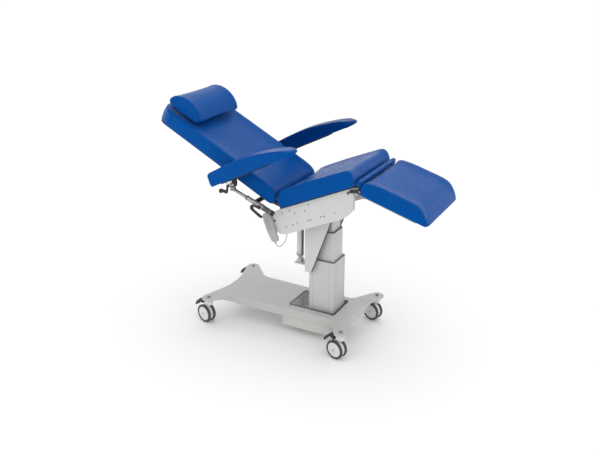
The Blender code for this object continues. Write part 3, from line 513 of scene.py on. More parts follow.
class Cushion:
    """A padded form: its side outline, wrapped from one side to the other, with a sewn panel on each side.

    top and bottom are the two halves of the outline in the part's own XZ plane, both from the
    low-X end to the high-X end. Rows of the grid run across the cushion, columns run round it.
    """

    EDGE_TURNS = np.radians([90, 74, 58, 45, 32, 16, 0])
    SEAM_TURN = 3
    PANEL_RUNGS = 5

    def __init__(self, name, top, bottom, half_width, spacing, round_top, round_bottom,
                 corner_low=0.0, corner_high=0.0, crown=0.0, middle=0.0):
        self.name = name
        self.count = max(8, int(round(lengths_along(top)[-1] / spacing)))
        loop = np.vstack([even(bottom, self.count + 1), even(top, self.count + 1)[-2:0:-1]])
        self.columns = len(loop)
        upper = self.upper_share()
        radius = round_bottom + (round_top - round_bottom) * upper
        corners = ((corner_low, loop[:, 0].min(), -1), (corner_high, loop[:, 0].max(), 1))
        grid = []
        for side, value in self.stations(half_width - max(round_top, round_bottom), spacing):
            if side:
                y = side * (half_width - radius * (1 - np.sin(value)))
                outline = pull_in(loop, radius * (1 - np.cos(value)))
            else:
                y = np.full(self.columns, value)
                outline = loop.copy()
            edge = np.abs(y)
            for corner, limit, sign in corners:
                if corner:
                    round_corner(outline, edge - (half_width - corner), corner, limit, sign)
            rise = crown * (1 - np.clip(edge / half_width, 0, 1) ** 2.2)
            outline[:, 1] += np.where(upper > 0.5, rise, 0.0)
            grid.append(np.stack([outline[:, 0], middle + y, outline[:, 1]], 1))
        self.rows = len(grid)
        self.seam_rows = (self.SEAM_TURN, self.rows - 1 - self.SEAM_TURN)
        vertices = [tuple(p) for p in np.array(grid).reshape(-1, 3)]
        self.faces = [(self.index(r, c), self.index(r, c + 1), self.index(r + 1, c + 1), self.index(r + 1, c))
                      for r in range(self.rows - 1) for c in range(self.columns)]
        for row, flip in ((0, False), (self.rows - 1, True)):
            self.faces += self.close_side(vertices, row, flip)
        self.points = np.array(vertices, float)

    def upper_share(self):
        """One on the upper half of the loop and nought on the lower, blended over nine columns."""
        upper = (np.arange(self.columns) > self.count).astype(float)
        return np.convolve(np.concatenate([upper[-4:], upper, upper[:4]]), np.ones(9) / 9, "valid")

    def stations(self, inner, spacing):
        """Each row as (side, turn round the edge), or (0, y) between the rounded edges."""
        flat = np.linspace(-inner, inner, max(6, int(round(2 * inner / spacing))) + 1)
        return ([(-1, t) for t in self.EDGE_TURNS] + [(0, y) for y in flat[1:-1]]
                + [(1, t) for t in self.EDGE_TURNS[::-1]])

    def close_side(self, vertices, row, flip):
        """The sewn side panel: a grid between the lower and the upper half of an end row."""
        base = row * self.columns
        lower = [base + i for i in range(self.count + 1)]
        upper = [base] + [base + self.columns - i for i in range(1, self.count)] + [base + self.count]
        ladder = [lower]
        for k in range(1, self.PANEL_RUNGS + 1):
            rung = [lower[0]]
            for i in range(1, self.count):
                a, b = Vector(vertices[lower[i]]), Vector(vertices[upper[i]])
                rung.append(len(vertices))
                vertices.append(tuple(a.lerp(b, k / (self.PANEL_RUNGS + 1))))
            ladder.append(rung + [lower[-1]])
        ladder.append(upper)
        faces = []
        for a, b in zip(ladder, ladder[1:]):
            for i in range(self.count):
                face = tuple(dict.fromkeys((a[i], a[i + 1], b[i + 1], b[i])))
                if len(face) > 2:
                    faces.append(face if flip else face[::-1])
        return faces

    def index(self, row, column):
        return row * self.columns + column % self.columns

    def nearest_column(self, row, x, z):
        ring = self.points[row * self.columns:(row + 1) * self.columns]
        return int(np.argmin((ring[:, 0] - x) ** 2 + (ring[:, 2] - z) ** 2))

    def round_columns(self, row, start, end, step):
        """Grid indices along one row from a column to another."""
        found = [self.index(row, start)]
        column = start
        while column % self.columns != end % self.columns:
            column += step
            found.append(self.index(row, column))
        return found

    def across(self, column, start, end):
        step = 1 if end > start else -1
        return [self.index(r, column) for r in range(start, end + step, step)]

    def seam_over(self, heel, ridge, step):
        """Along the near edge from heel to ridge, across, and back along the far edge."""
        near, far = self.seam_rows
        return (self.round_columns(near, heel, ridge, step) + self.across(ridge, near, far)[1:-1]
                + self.round_columns(far, ridge, heel, -step))


PRESSURE = 4.0
CLOTH_FRAMES = 16


def settle(points, faces, held, cap):
    """Swell the skin with cloth pressure; no point moves further than its own cap."""
    piece = bpy.data.objects.new("skin", mesh_of(points, faces))
    bpy.context.scene.collection.objects.link(piece)
    group = piece.vertex_groups.new(name="held")
    for i in np.nonzero(held > 0)[0]:
        group.add([int(i)], float(held[i]), "REPLACE")
    cloth = piece.modifiers.new("skin", "CLOTH")
    settings = cloth.settings
    settings.quality = 5
    settings.mass = 0.25
    settings.tension_stiffness = settings.compression_stiffness = 18.0
    settings.shear_stiffness = 6.0
    settings.bending_stiffness = 1.2
    settings.tension_damping = settings.compression_damping = 12.0
    settings.use_pressure = True
    settings.uniform_pressure_force = PRESSURE
    settings.vertex_group_mass = "held"
    settings.effector_weights.gravity = 0.0
    cloth.collision_settings.use_collision = False
    scene = bpy.context.scene
    for number in range(1, CLOTH_FRAMES + 1):
        scene.frame_set(number)
    skin = piece.evaluated_get(bpy.context.evaluated_depsgraph_get())
    moved = vectors(skin.to_mesh().vertices, "co")
    skin.to_mesh_clear()
    bpy.data.objects.remove(piece, do_unlink=True)
    scene.frame_set(1)
    shift = moved - points
    length = np.linalg.norm(shift, axis=1) + 1e-12
    limited = cap * np.tanh(length / (cap + 1e-9))
    return points + shift * (limited / length)[:, None]


def relax(points, faces, rounds, weight):
    """Laplacian smoothing of the skin, strongest where weight is one."""
    edges = {(min(a, b), max(a, b)) for f in faces for a, b in zip(f, f[1:] + f[:1])}
    edges = np.array(sorted(edges))
    degree = np.bincount(edges.ravel(), minlength=len(points))
    for _ in range(rounds):
        total = np.zeros_like(points)
        np.add.at(total, edges[:, 0], points[edges[:, 1]])
        np.add.at(total, edges[:, 1], points[edges[:, 0]])
        points = points + (total / degree[:, None] - points) * (0.5 * weight)[:, None]
    return points


def distance_to(points, path):
    """Distance of each point to a polyline's vertices, and which of them is nearest."""
    best = np.full(len(points), 1e9)
    which = np.zeros(len(points), int)
    batch = 64
    for start in range(0, len(path), batch):
        gaps = np.linalg.norm(points[:, None, :] - path[None, start:start + batch, :], axis=2)
        near = gaps.argmin(1)
        value = gaps[np.arange(len(points)), near]
        closer = value < best
        best[closer] = value[closer]
        which[closer] = near[closer] + start
    return best, which


def vectors(vertices, key):
    """The co or the normal of all the vertices, as rows."""
    values = np.zeros(len(vertices) * 3, np.float32)
    vertices.foreach_get(key, values)
    return values.reshape(-1, 3).astype(float)


def swell(points, faces, seams, caps, held):
    """The skin pushed out by its padding, and drawn in at the seams and where it is held."""
    loose = 1.0 - 0.85 * (held > 0.5)
    points = relax(points, faces, 6, loose)
    gap, _ = distance_to(points, np.vstack([points[seam] for seam in seams]))
    rise = caps * (1 - np.exp(-(gap / 0.055) ** 1.2))
    return relax(settle(points, faces, held, 0.0012 + rise), faces, 3, loose)


def subdivide(piece):
    step = piece.modifiers.new("finer", "SUBSURF")
    step.levels = step.render_levels = 1
    fine = bpy.data.meshes.new_from_object(piece.evaluated_get(bpy.context.evaluated_depsgraph_get()))
    piece.modifiers.clear()
    piece.data = fine
    fine.name = piece.name


GROOVE_DEPTH, GROOVE_WIDTH = 0.0016, 0.003
PUCKER_PITCH, PUCKER_PLACE, PUCKER_WIDTH = 0.034, 0.01, 0.012


def draw_in(mesh, paths, puckers):
    """Press a groove along each seam, with small puckers on both sides of it."""
    spacing = 0.0025
    co, normals = vectors(mesh.vertices, "co"), vectors(mesh.vertices, "normal")
    drop = np.zeros(len(co))
    for path in paths:
        gap, which = distance_to(co, smoothed(resample(path, spacing), 4))
        along = which * spacing
        drop += GROOVE_DEPTH * np.exp(-(gap / GROOVE_WIDTH) ** 2)
        ripple = np.sin(along * 2 * math.pi / PUCKER_PITCH + 2.3 * np.sin(along * 11.0) + which[0])
        drop += puckers * ripple * np.exp(-((gap - PUCKER_PLACE) / PUCKER_WIDTH) ** 2) * (gap > GROOVE_WIDTH)
    co -= normals * drop[:, None]
    mesh.vertices.foreach_set("co", co.astype(np.float32).ravel())
    mesh.update()
    mesh.polygons.foreach_set("use_smooth", [True] * len(mesh.polygons))
    return co


THREAD_PITCH, THREAD_LENGTH, THREAD_RADIUS, THREAD_OFFSET = 0.0062, 0.0042, 0.00042, 0.0062


def stitches(route, normals):
    """Short threads laid along a path, each a small tapered bar that dips at both ends."""
    along = lengths_along(route)
    lifts = (-THREAD_RADIUS * 0.6, THREAD_RADIUS * 0.55, -THREAD_RADIUS * 0.6)
    parts = []
    for k in range(int(along[-1] / THREAD_PITCH)):
        start, end = k * THREAD_PITCH, k * THREAD_PITCH + THREAD_LENGTH
        middle = (start + end) / 2
        points = [Vector([np.interp(t, along, route[:, i]) for i in range(3)]) for t in (start, middle, end)]
        up = Vector([np.interp(middle, along, normals[:, i]) for i in range(3)]).normalized()
        parts.append(sweep([p + up * lift for p, lift in zip(points, lifts)],
                           (THREAD_RADIUS * 0.6, THREAD_RADIUS, THREAD_RADIUS * 0.6), 6))
    return parts


def sew(mesh, co, paths):
    """The threads of a twin-needle seam, one row on each side of every path."""
    tree = BVHTree.FromPolygons([tuple(p) for p in co], [tuple(p.vertices) for p in mesh.polygons])

    def on_skin(path):
        found = [tree.find_nearest(Vector(p)) for p in path]
        return np.array([tuple(f[0]) for f in found]), np.array([tuple(f[1]) for f in found])

    threads = []
    for path in paths:
        lay, up = on_skin(resample(path, 0.004))
        lay = smoothed(lay, 3)
        aside = unit(np.cross(np.gradient(lay, axis=0), up))
        for sign in (-1, 1):
            threads += stitches(*on_skin(lay + aside * sign * THREAD_OFFSET))
    return threads


def finish_cushion(cushion, place, body, node, seams, caps, held, look=BLUE, puckers=0.0005):
    """Swell the skin, subdivide it, draw its seams in and sew them; the cushion replaces a CAD node."""
    points = swell(cushion.points, cushion.faces, seams, caps, held)
    piece = add(cushion.name, mesh_of(points, cushion.faces, cushion.name), look)
    subdivide(piece)
    paths = [points[seam] for seam in seams]
    co = draw_in(piece.data, paths, puckers)
    thread = gather(*sew(piece.data, co, paths))
    piece.data.transform(place)
    piece.data.update()
    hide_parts(node)
    ride(piece, body)
    thread.transform(place)
    fitting(cushion.name + "_stitching", thread, STITCH, body)


def underside(cushion, level, tolerance=0.004):
    """One for points that rest on the board, nought for the others."""
    return (cushion.points[:, 2] < level + tolerance).astype(float)


def make_back_cushion():
    length, under = 0.978, -0.0255
    top = ([(-length, 0.004), (-length, 0.036)] + arc((-length + 0.036, 0.036), 0.036, 180, 90, 5)
           + [(-0.6, 0.0725), (-0.3, 0.0725), (-0.112, 0.072), (-0.066, 0.0665), (-0.038, 0.0555),
              (-0.0205, 0.037), (-0.0155, 0.008)])
    bottom = [(-length, 0.004), (-length, under + 0.006), (-length + 0.006, under), (-0.024, under),
              (-0.017, under + 0.005), (-0.0155, 0.008)]
    cushion = Cushion("back_upholstery", top, bottom, 0.269, 0.0105, 0.024, 0.009, corner_low=0.122)
    ridge = cushion.nearest_column(cushion.rows // 2, -length + 0.012, 0.058)
    nose = cushion.nearest_column(cushion.rows // 2, -0.026, under + 0.002)
    seam = cushion.seam_over(nose, ridge, 1)
    caps = np.where(cushion.points[:, 2] > 0.03, 0.014, 0.004)
    finish_cushion(cushion, BACK, "back", "back_cushion", [seam], caps, underside(cushion, under))


def make_seat_cushion():
    base = 0.1338
    top_z = base + 0.108
    top = ([(-0.174, base + 0.05)] + arc((-0.122, base + 0.074), 0.029, 165, 95, 4)
           + [(-0.06, top_z - 0.001), (0.08, top_z), (0.24, top_z - 0.003)]
           + arc((0.33, base + 0.067), 0.037, 78, 5, 6) + [(0.369, base + 0.046)])
    bottom = [(-0.174, base + 0.05), (-0.169, base + 0.006), (-0.162, base), (0.348, base),
              (0.36, base + 0.008), (0.369, base + 0.046)]
    cushion = Cushion("seat_upholstery", top, bottom, 0.268, 0.0105, 0.015, 0.007)
    nose = cushion.nearest_column(cushion.SEAM_TURN, 0.348, base + 0.004)
    tail = cushion.nearest_column(cushion.SEAM_TURN, -0.165, base + 0.004)
    seams = [cushion.round_columns(row, nose, tail, 1) for row in cushion.seam_rows]
    caps = np.where(cushion.points[:, 2] > base + 0.05, 0.012, 0.005)
    finish_cushion(cushion, SEAT, "seat", "seat_cushion", seams, caps, underside(cushion, base))


def make_leg_cushion():
    base, length = 0.035, 0.505
    top = ([(0.067, 0.072)] + arc((0.101, 0.09), 0.035, 175, 92, 5)
           + [(0.17, 0.133), (0.3, 0.134), (0.372, 0.1335), (0.408, 0.1285), (0.434, 0.117),
              (0.458, 0.0945), (0.484, 0.068), (length - 0.006, 0.05)])
    bottom = [(0.067, 0.072), (0.073, base + 0.008), (0.083, base), (0.4, base), (length - 0.01, base),
              (length - 0.001, base + 0.006), (length - 0.006, 0.05)]
    cushion = Cushion("leg_upholstery", top, bottom, 0.268, 0.0105, 0.018, 0.008, corner_high=0.034)
    ridge = cushion.nearest_column(cushion.rows // 2, length - 0.004, 0.052)
    heel = cushion.nearest_column(cushion.SEAM_TURN, 0.081, base + 0.004)
    seam = cushion.seam_over(heel, ridge, -1)
    caps = np.where(cushion.points[:, 2] > base + 0.05, 0.011, 0.004)
    finish_cushion(cushion, LEG, "leg", "leg_cushion", [seam], caps, underside(cushion, base))


def make_pillow():
    top = [(-0.128, 0.03), (-0.126, 0.046), (-0.112, 0.068), (-0.083, 0.089), (-0.044, 0.103),
           (0.0, 0.107), (0.044, 0.1), (0.084, 0.082), (0.114, 0.057), (0.127, 0.036), (0.128, 0.026)]
    bottom = [(-0.128, 0.03), (-0.123, 0.018), (-0.098, 0.0075), (-0.05, 0.003), (0.0, 0.0022),
              (0.05, 0.003), (0.098, 0.0075), (0.122, 0.016), (0.128, 0.026)]
    cushion = Cushion("pillow_upholstery", top, bottom, 0.218, 0.0085, 0.015, 0.012, crown=0.004)
    seams = [[cushion.index(row, c) for c in range(cushion.columns)] + [cushion.index(row, 0)]
             for row in cushion.seam_rows]
    caps = np.where(cushion.points[:, 2] > 0.02, 0.011, 0.002)
    finish_cushion(cushion, PILLOW, "pillow", "head_pillow", seams, caps, underside(cushion, 0.0),
                   puckers=0.0009)


def make_arm_pad(label, side, look):
    base = 0.0297
    top = ([(-0.106, 0.048)] + arc((-0.064, 0.083), 0.034, 175, 92, 5)
           + [(-0.02, 0.119), (0.06, 0.1235), (0.14, 0.1255), (0.22, 0.1225), (0.31, 0.1115),
              (0.4, 0.0955), (0.45, 0.0835), (0.5, 0.0675), (0.528, 0.052), (0.54, 0.041)])
    bottom = [(-0.106, 0.048), (-0.098, 0.036), (-0.09, base), (0.2, base), (0.35, base),
              (0.5, 0.0262), (0.528, 0.03), (0.54, 0.041)]
    cushion = Cushion("arm_upholstery_" + label, top, bottom, 0.0585, 0.0075, 0.013, 0.006, corner_low=0.034,
                      corner_high=0.056, middle=side * 0.345)
    near, far = cushion.seam_rows
    heel = cushion.nearest_column(cushion.rows // 2, -0.098, 0.096)
    tip = cushion.nearest_column(cushion.rows // 2, 0.532, 0.049)
    seam = cushion.seam_over(heel, tip, -1 if heel > tip else 1) + cushion.across(heel, far, near)[1:]
    caps = np.where(cushion.points[:, 2] > 0.045, 0.007, 0.002)
    held = underside(cushion, base, 0.002) * (cushion.points[:, 0] < 0.45)
    name = "arm_pad_" + label
    place = PAD @ Matrix.Translation((FORWARD[label], 0, 0))
    finish_cushion(cushion, place, name, name, [seam], caps, held, look, 0.0004)


def make_knee_strip():
    """The narrow padded strip that closes the gap between the seat and the leg rest."""
    rows = [(0.0335, 0.093), (0.035, 0.102), (0.04, 0.108), (0.046, 0.1105), (0.052, 0.111),
            (0.057, 0.1095), (0.0615, 0.106), (0.0645, 0.099), (0.065, 0.09), (0.064, 0.066),
            (0.058, 0.064), (0.05, 0.066), (0.042, 0.072), (0.036, 0.082)]
    ends = [(0.256, 1.0), (0.2595, 0.86), (0.261, 0.55)]
    stations = [(-y, size) for y, size in reversed(ends)]
    stations += [(y, 1.0) for y in np.linspace(-0.24, 0.24, 41)] + ends
    middle_x, middle_z = np.mean(rows, axis=0)
    rings = []
    for y, size in stations:
        ripple = 0.0007 * math.sin(y * 61.0) + 0.0005 * math.sin(y * 143.0 + 1.0)
        rings.append([LEG @ Vector((middle_x + (x - middle_x) * size, y,
                                    middle_z + (z - middle_z) * size + (ripple if z > 0.1 else 0.0)))
                      for x, z in rows])
    strip = add("knee_strip", solid(loft(rings)), BLUE)
    finer = strip.modifiers.new("finer", "SUBSURF")
    finer.levels = finer.render_levels = 1
    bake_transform(strip)
    backing = [(0.053, 0.047), (0.075, 0.033), (0.075, 0.029), (0.051, 0.043)]
    fitting("knee_backing", solid(prism(backing, (-0.225, 0.225), LEG)), BLACK, "leg", 0.001)


make_knee_strip()
make_back_cushion()
make_seat_cushion()
make_leg_cushion()
make_pillow()
make_arm_pad("near", -1, BLUE)
# the far pad gets the darker copy of the blue vinyl as painted shade
make_arm_pad("far", 1, FAR_PAD_SHADED_BLUE)


# ---- carried-over CAD nodes

def dress(node, look, width):
    """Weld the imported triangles, round the sharp edges a little and give the material."""
    piece = NODES[node]
    data = piece.data
    if "custom_normal" in data.attributes:
        data.attributes.remove(data.attributes["custom_normal"])
    data.materials.clear()
    data.materials.append(look)
    data.polygons.foreach_set("use_smooth", [True] * len(data.polygons))
    weld = piece.modifiers.new("weld", "WELD")
    weld.merge_threshold = 1e-5
    flat = piece.modifiers.new("flat", "DECIMATE")
    flat.decimate_type = "DISSOLVE"
    flat.angle_limit = math.radians(0.6)
    if width:
        bevelled(piece, width)


CASTORS = [(f"{end}_{label}", x, y) for end, x in (("head", -0.4836), ("foot", 0.4836))
           for label, y in (("near", -0.279), ("far", 0.279))]
LOOKS = [
    # the opening trim is a real rubber edge trim; its black also paints the shadow in the gap round the
    # column
    ("base_deck", DECK_PAINT, 0.0022), ("well_box", WELL_PAINT, 0.001), ("opening_trim", SEAL_AND_SHADE, 0.0008),
    ("column_bracket side_plate_near side_plate_far", PAINT, 0.0008),
    ("column_outer column_middle column_inner", ALUMINIUM, 0.0005),
    ("tilt_actuator_tube back_actuator_tube leg_actuator_tube", TUBE, 0.001),
    ("tilt_actuator_rod back_actuator_rod leg_actuator_rod seat_shaft", CHROME, 0.0006),
    ("seat_pan handset_socket", BLACK, 0.001), ("back_frame", DARK_GREY, 0.001), ("leg_frame", BOARD, 0.001),
    ("arm_bar_near arm_bar_far arm_sleeve_near arm_sleeve_far", STEEL, 0.0008),
    ("clamp_lever_near clamp_lever_far tilt_lever_near tilt_lever_far", BLACK, 0.0022),
    ("handset_button_up handset_button_down", BUTTON, 0.0006),
]
for castor, _, _ in CASTORS:
    LOOKS += [(f"castor_{castor}_{part}", look, width) for part, look, width in (
        ("housing", PALE, 0.002), ("hubs", PALE, 0.001), ("tyre_inner", TYRE, 0.0), ("tyre_outer", TYRE, 0.0),
        ("pedal", BLACK, 0.0012))]
for nodes, look, width in LOOKS:
    for node in nodes.split():
        dress(node, look, width)


# ---- fittings

def at_point(x, y, z, side=0):
    """A frame at a design point, its Z axis up or, with a side given, outwards along Y on that side."""
    return DESIGN @ Matrix.Translation((x, y, z)) @ Matrix.Rotation(-side * math.pi / 2, 4, "X")


def screw_head(matrix, radius, height=0.0014):
    """A low button head with a hexagon socket."""
    dome = lathe([(radius * 0.42, height * 0.35), (radius * 0.45, height), (radius * 0.78, height * 0.82),
                  (radius, height * 0.25), (radius, -0.0006)], matrix, 20)
    socket = lathe([(0.0, height * 0.3), (radius * 0.46, height * 0.36)], matrix, 6)
    return [dome, socket]


def hexagon(matrix, across, low, high):
    """A hexagon head with a small chamfer."""
    radius = across / math.sqrt(3)
    return lathe([(0.0, high), (radius * 0.86, high), (radius, high - 0.001), (radius, low)], matrix, 6)


PLATE_FACE = 0.235
SMALL_SCREWS = [(0.057, 0.863), (0.109, 0.885), (0.143, 0.876), (0.084, 0.78), (0.132, 0.801), (0.163, 0.819),
                (0.213, 0.904), (0.233, 0.947), (0.234, 0.847), (0.25, 0.854), (0.319, 0.886), (0.339, 0.894)]
PLATE_SCREWS = [(x, z, 0.0042) for x, z in SMALL_SCREWS] + [(0.407, 0.925, 0.0036), (0.007, 0.804, 0.007),
                                                            (0.488, 1.06, 0.0085)]


def make_screws():
    for label, side in SIDES:
        heads = []
        for x, z, radius in PLATE_SCREWS:
            heads += screw_head(at_point(x, side * PLATE_FACE, z, side), radius)
        fitting("plate_screws_" + label, gather(*heads), DARK_STEEL, "seat")


ARM_TOP = 0.184
CASTOR_TURN = math.radians(-14.0)
WHEEL_TRAIL, WHEEL_RADIUS, HUB_FACE = 0.029, 0.0625, 0.032
HUB_CAP_PROFILE = [(0.0, 0.0016), (0.0085, 0.0016), (0.0096, 0.0006), (0.0096, -0.0004)]


def make_castor_fittings():
    for name, x, y in CASTORS:
        top, foot = at_point(x, y, ARM_TOP), at_point(x, y, 0.0)
        washer = lathe([(0.0, 0.0016), (0.0132, 0.0016), (0.0138, 0.0009), (0.0138, -0.0005)], top, 28)
        stud = lathe([(0.0, 0.0135), (0.0044, 0.0135), (0.0052, 0.0124), (0.0052, 0.0)], top, 20)
        nut = hexagon(top, 0.018, 0.0014, 0.0092)
        fitting("castor_bolt_" + name, gather(washer, nut, stud), ZINC, "base", smooth=False)
        ring = lathe([(0.0, 0.1795), (0.0265, 0.1795), (0.0285, 0.1782), (0.0285, 0.1738), (0.0268, 0.1722),
                      (0.0, 0.1722)], foot, 40)
        fitting("swivel_ring_" + name, gather(ring), BLACK, "base")
        hub = (foot @ Matrix.Rotation(CASTOR_TURN, 4, "Z")
               @ Matrix.Translation((-WHEEL_TRAIL, 0.0, WHEEL_RADIUS)))
        caps = []
        for side in (-1, 1):
            face = (hub @ Matrix.Translation((0, side * HUB_FACE, 0))
                    @ Matrix.Rotation(-side * math.pi / 2, 4, "X"))
            caps.append(lathe(HUB_CAP_PROFILE, face, 28))
        fitting("hub_caps_" + name, gather(*caps), HUB_CAP, "wheels_" + name)


def rounded_ring(length, width, radius, centre_x=0.0):
    """The outline of a rectangle with round corners, counter-clockwise."""
    x, y = length / 2 - radius, width / 2 - radius
    corners = ((x, y), (-x, y), (-x, -y), (x, -y))
    points = [p for i, corner in enumerate(corners) for p in arc(corner, radius, 90 * i, 90 * (i + 1))]
    return [(a + centre_x, b) for a, b in points]


def band(outer, inner, low, high, matrix):
    """A flat ring between two outlines with the same number of points."""
    count = len(outer)
    points = [matrix @ Vector((a, b, z)) for z in (low, high) for loop in (outer, inner) for a, b in loop]
    faces = []
    for i in range(count):
        j = (i + 1) % count
        a, b, c, d = 0, count, 2 * count, 3 * count
        faces += [(a + i, a + j, c + j, c + i), (b + j, b + i, d + i, d + j),
                  (c + i, c + j, d + j, d + i), (a + j, a + i, b + i, b + j)]
    return points, faces


COLUMN_X, WELL_X = 0.2483, 0.183
COLUMN = DESIGN @ Matrix.Translation((COLUMN_X, 0.0, 0.0))
WELL = DESIGN @ Matrix.Translation((WELL_X, 0.0, 0.0))
OUTER_STAGE = (0.178, 0.17)


def make_stage_lip(name, body, outer, inner, top):
    lip = band(rounded_ring(*outer), rounded_ring(*inner), top - 0.0004, top + 0.0018, COLUMN)
    fitting(name, solid(lip), LIP, body, 0.0005)


def make_column_groove_shades():
    """Dark strips down the outer stage, two on each face, that paint the shade in fine grooves."""
    half, proud = 0.0006, 0.0008
    ends, sides = OUTER_STAGE[0] / 2, OUTER_STAGE[1] / 2
    heights = (0.188, 0.522)
    grooves = []
    for side in (-1, 1):
        for x in (-0.058, 0.058):
            grooves.append(block((x - half, x + half), span(side, sides, sides + proud), heights, COLUMN))
        for y in (-0.052, 0.052):
            grooves.append(block(span(side, ends, ends + proud), (y - half, y + half), heights, COLUMN))
    fitting("column_groove_shades", solid(*grooves), GROOVE_SHADE, "base", smooth=False)


def make_well_fittings():
    outer, inner = rounded_ring(0.196, 0.188, 0.02), rounded_ring(0.1785, 0.1705, 0.0158)
    flange = band(outer, inner, 0.059, 0.064, COLUMN)
    fitting("column_flange", solid(flange), WELL_PAINT, "base", 0.0008)
    outer, inner = rounded_ring(0.3514, 0.3058, 0.0047), rounded_ring(0.3498, 0.3042, 0.0039)
    walls = band(outer, inner, 0.0584, 0.179, WELL)
    fitting("well_lining", solid(walls), LINER_PAINT, "base", smooth=False)
    hole = rounded_ring(0.198, 0.19, 0.02, COLUMN_X - WELL_X)
    floor = band(rounded_ring(0.3495, 0.304, 0.0039), hole, 0.0583, 0.059, WELL)
    fitting("well_floor_lining", solid(floor), LINER_PAINT, "base", smooth=False)


def make_deck_bolts():
    bolts = [hexagon(at_point(0.193 + x, y, 0.1842), 0.01, 0.0, 0.0045)
             for x in (-0.15, 0.15) for y in (-0.12, 0.12)]
    fitting("deck_bolts", gather(*bolts), ZINC, "base", smooth=False)


def make_gusset_shadow_strips():
    # Thin black strips along the gussets' slanted edges: painted shadow of the gap between each gusset and
    # the column.
    strip = [(0.1915, 0.448), (0.1945, 0.448), (0.3355, 0.834), (0.3325, 0.834)]
    shadow_strips = [prism(strip, span(side, 0.1062, 0.1128), DESIGN) for side in (-1, 1)]
    fitting("gusset_shadow_strip", solid(*shadow_strips), SEAL_AND_SHADE, "lift_head", smooth=False)


def make_tilt_actuator_fittings():
    axis = tilted(0.054, 0.47, math.degrees(math.atan2(0.005, 0.33)))
    collar = lathe([(0.0228, 0.047), (0.0244, 0.046), (0.0244, 0.029), (0.0232, 0.027), (0.018, 0.0232)],
                   axis, 40)
    fitting("tilt_collar", gather(collar), ZINC, "tilt_tube")
    gland = lathe([(0.0098, 0.2905), (0.017, 0.2905), (0.019, 0.2885), (0.019, 0.28)], axis, 40)
    fitting("tilt_gland", gather(gland), BLACK, "tilt_tube")
    # a dark grey rod half sunk along one side of the tube: painted shade on the tube's shaded side
    x, y = arc((0, 0), 0.0185, -22.0, -22.0, 1)[0]
    route = [axis @ Vector((x, y, z)) for z in np.linspace(0.05, 0.279, 12)]
    fitting("tilt_tube_shade_strip", gather(sweep(route, 0.0082, 16)), DARK_GREY, "tilt_tube")


def make_actuator_gland(label, foot, head, y, tube):
    """The black cap at the end of a tube that runs from one design (x, z) point towards another."""
    axis = tilted(*foot, math.degrees(math.atan2(head[0] - foot[0], head[1] - foot[1])), y)
    cap = lathe([(0.0083, tube + 0.005), (0.014, tube + 0.005), (0.0165, tube + 0.0032),
                 (0.0172, tube - 0.001), (0.0172, tube - 0.012), (0.017, tube - 0.0125)], axis)
    fitting(f"{label}_actuator_gland", gather(cap), BLACK, label + "_tube")


SLEEVE_LOW, SLEEVE_HIGH = Vector((0.034, 0.0, 0.8741)), Vector((-0.147, 0.0, 0.9467))
SLEEVE_Y = 0.3


def make_sleeve_fittings(label, side):
    """Hollow turned pieces round the sleeve; their heights run up from its low end."""
    along = (SLEEVE_HIGH - SLEEVE_LOW).normalized().to_track_quat("Z", "Y").to_matrix().to_4x4()
    axis = at_point(SLEEVE_LOW.x, side * SLEEVE_Y, SLEEVE_LOW.z) @ along
    for name, look, profile in (
            ("cover", DARK_GREY, [(0.0147, 0.083), (0.0152, 0.083), (0.0162, 0.079), (0.0162, 0.026),
                                  (0.0152, 0.022), (0.0147, 0.022)]),
            ("cap", BLACK, [(0.0147, 0.018), (0.0152, 0.018), (0.0172, 0.015), (0.0172, 0.004),
                            (0.016, -0.001), (0.012, -0.0015), (0.012, -0.0004), (0.0147, -0.0004)]),
            ("lip", DARK_GREY, [(0.011, 0.1975), (0.0145, 0.1975), (0.0156, 0.196), (0.0156, 0.19),
                                (0.0147, 0.19), (0.0147, 0.1957), (0.011, 0.1957)])):
        ring = lathe(profile + profile[:1], axis)
        fitting(f"sleeve_{name}_{label}", gather(ring), look, "back")


def make_arm_board(label, side):
    forward = FORWARD[label]
    limits_x = (max(-0.06 + forward, -0.028), 0.33 + forward)
    shape = solid(block(limits_x, span(side, 0.311, 0.372), (0.0225, 0.029), PAD))
    board = bevelled(add("arm_board_" + label, shape, BLACK), 0.0016)
    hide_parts("arm_plate_" + label)
    ride(board, "arm_pad_" + label)


def make_arm_hinge(label, side):
    """Two ears and a bent wire under the board, a stop wedge and the head of the pin."""
    body = "arm_pad_" + label
    ear = ([(-0.02, 0.0245), (-0.0085, 0.0245), (0.0015, -0.004), (0.0075, 0.0245), (0.03, 0.0245),
            (0.03, 0.0215), (0.012, 0.0185)] + arc((0, 0), 0.0118, 20, -200, 12)
           + [(-0.012, 0.0185), (-0.02, 0.0215)])
    ears = [prism(ear, span(side, inner, inner + 0.005), PAD) for inner in (0.313, 0.344)]
    for low_x, high_x in ((0.004, -0.0155), (0.006, 0.0225)):
        wire = [PAD @ Vector((low_x, side * 0.3465, -0.004)), PAD @ Vector((high_x, side * 0.3465, 0.0235))]
        ears.append(sweep(wire, 0.003))
    fitting("arm_ears_" + label, solid(*ears), POLISHED, body, 0.0006)
    wedge = [(0.022, 0.0225), (0.06, 0.0225), (0.05, -0.004), (0.038, -0.022), (0.027, -0.012)]
    stop = solid(prism(wedge, span(side, 0.32, 0.338), PAD))
    fitting("arm_stop_" + label, stop, BLACK, body, 0.0018)
    pin = screw_head(at_point(-0.245, side * 0.349, 1.022, side), 0.0075, 0.0026)
    fitting("arm_pin_" + label, gather(*pin), ZINC, body)


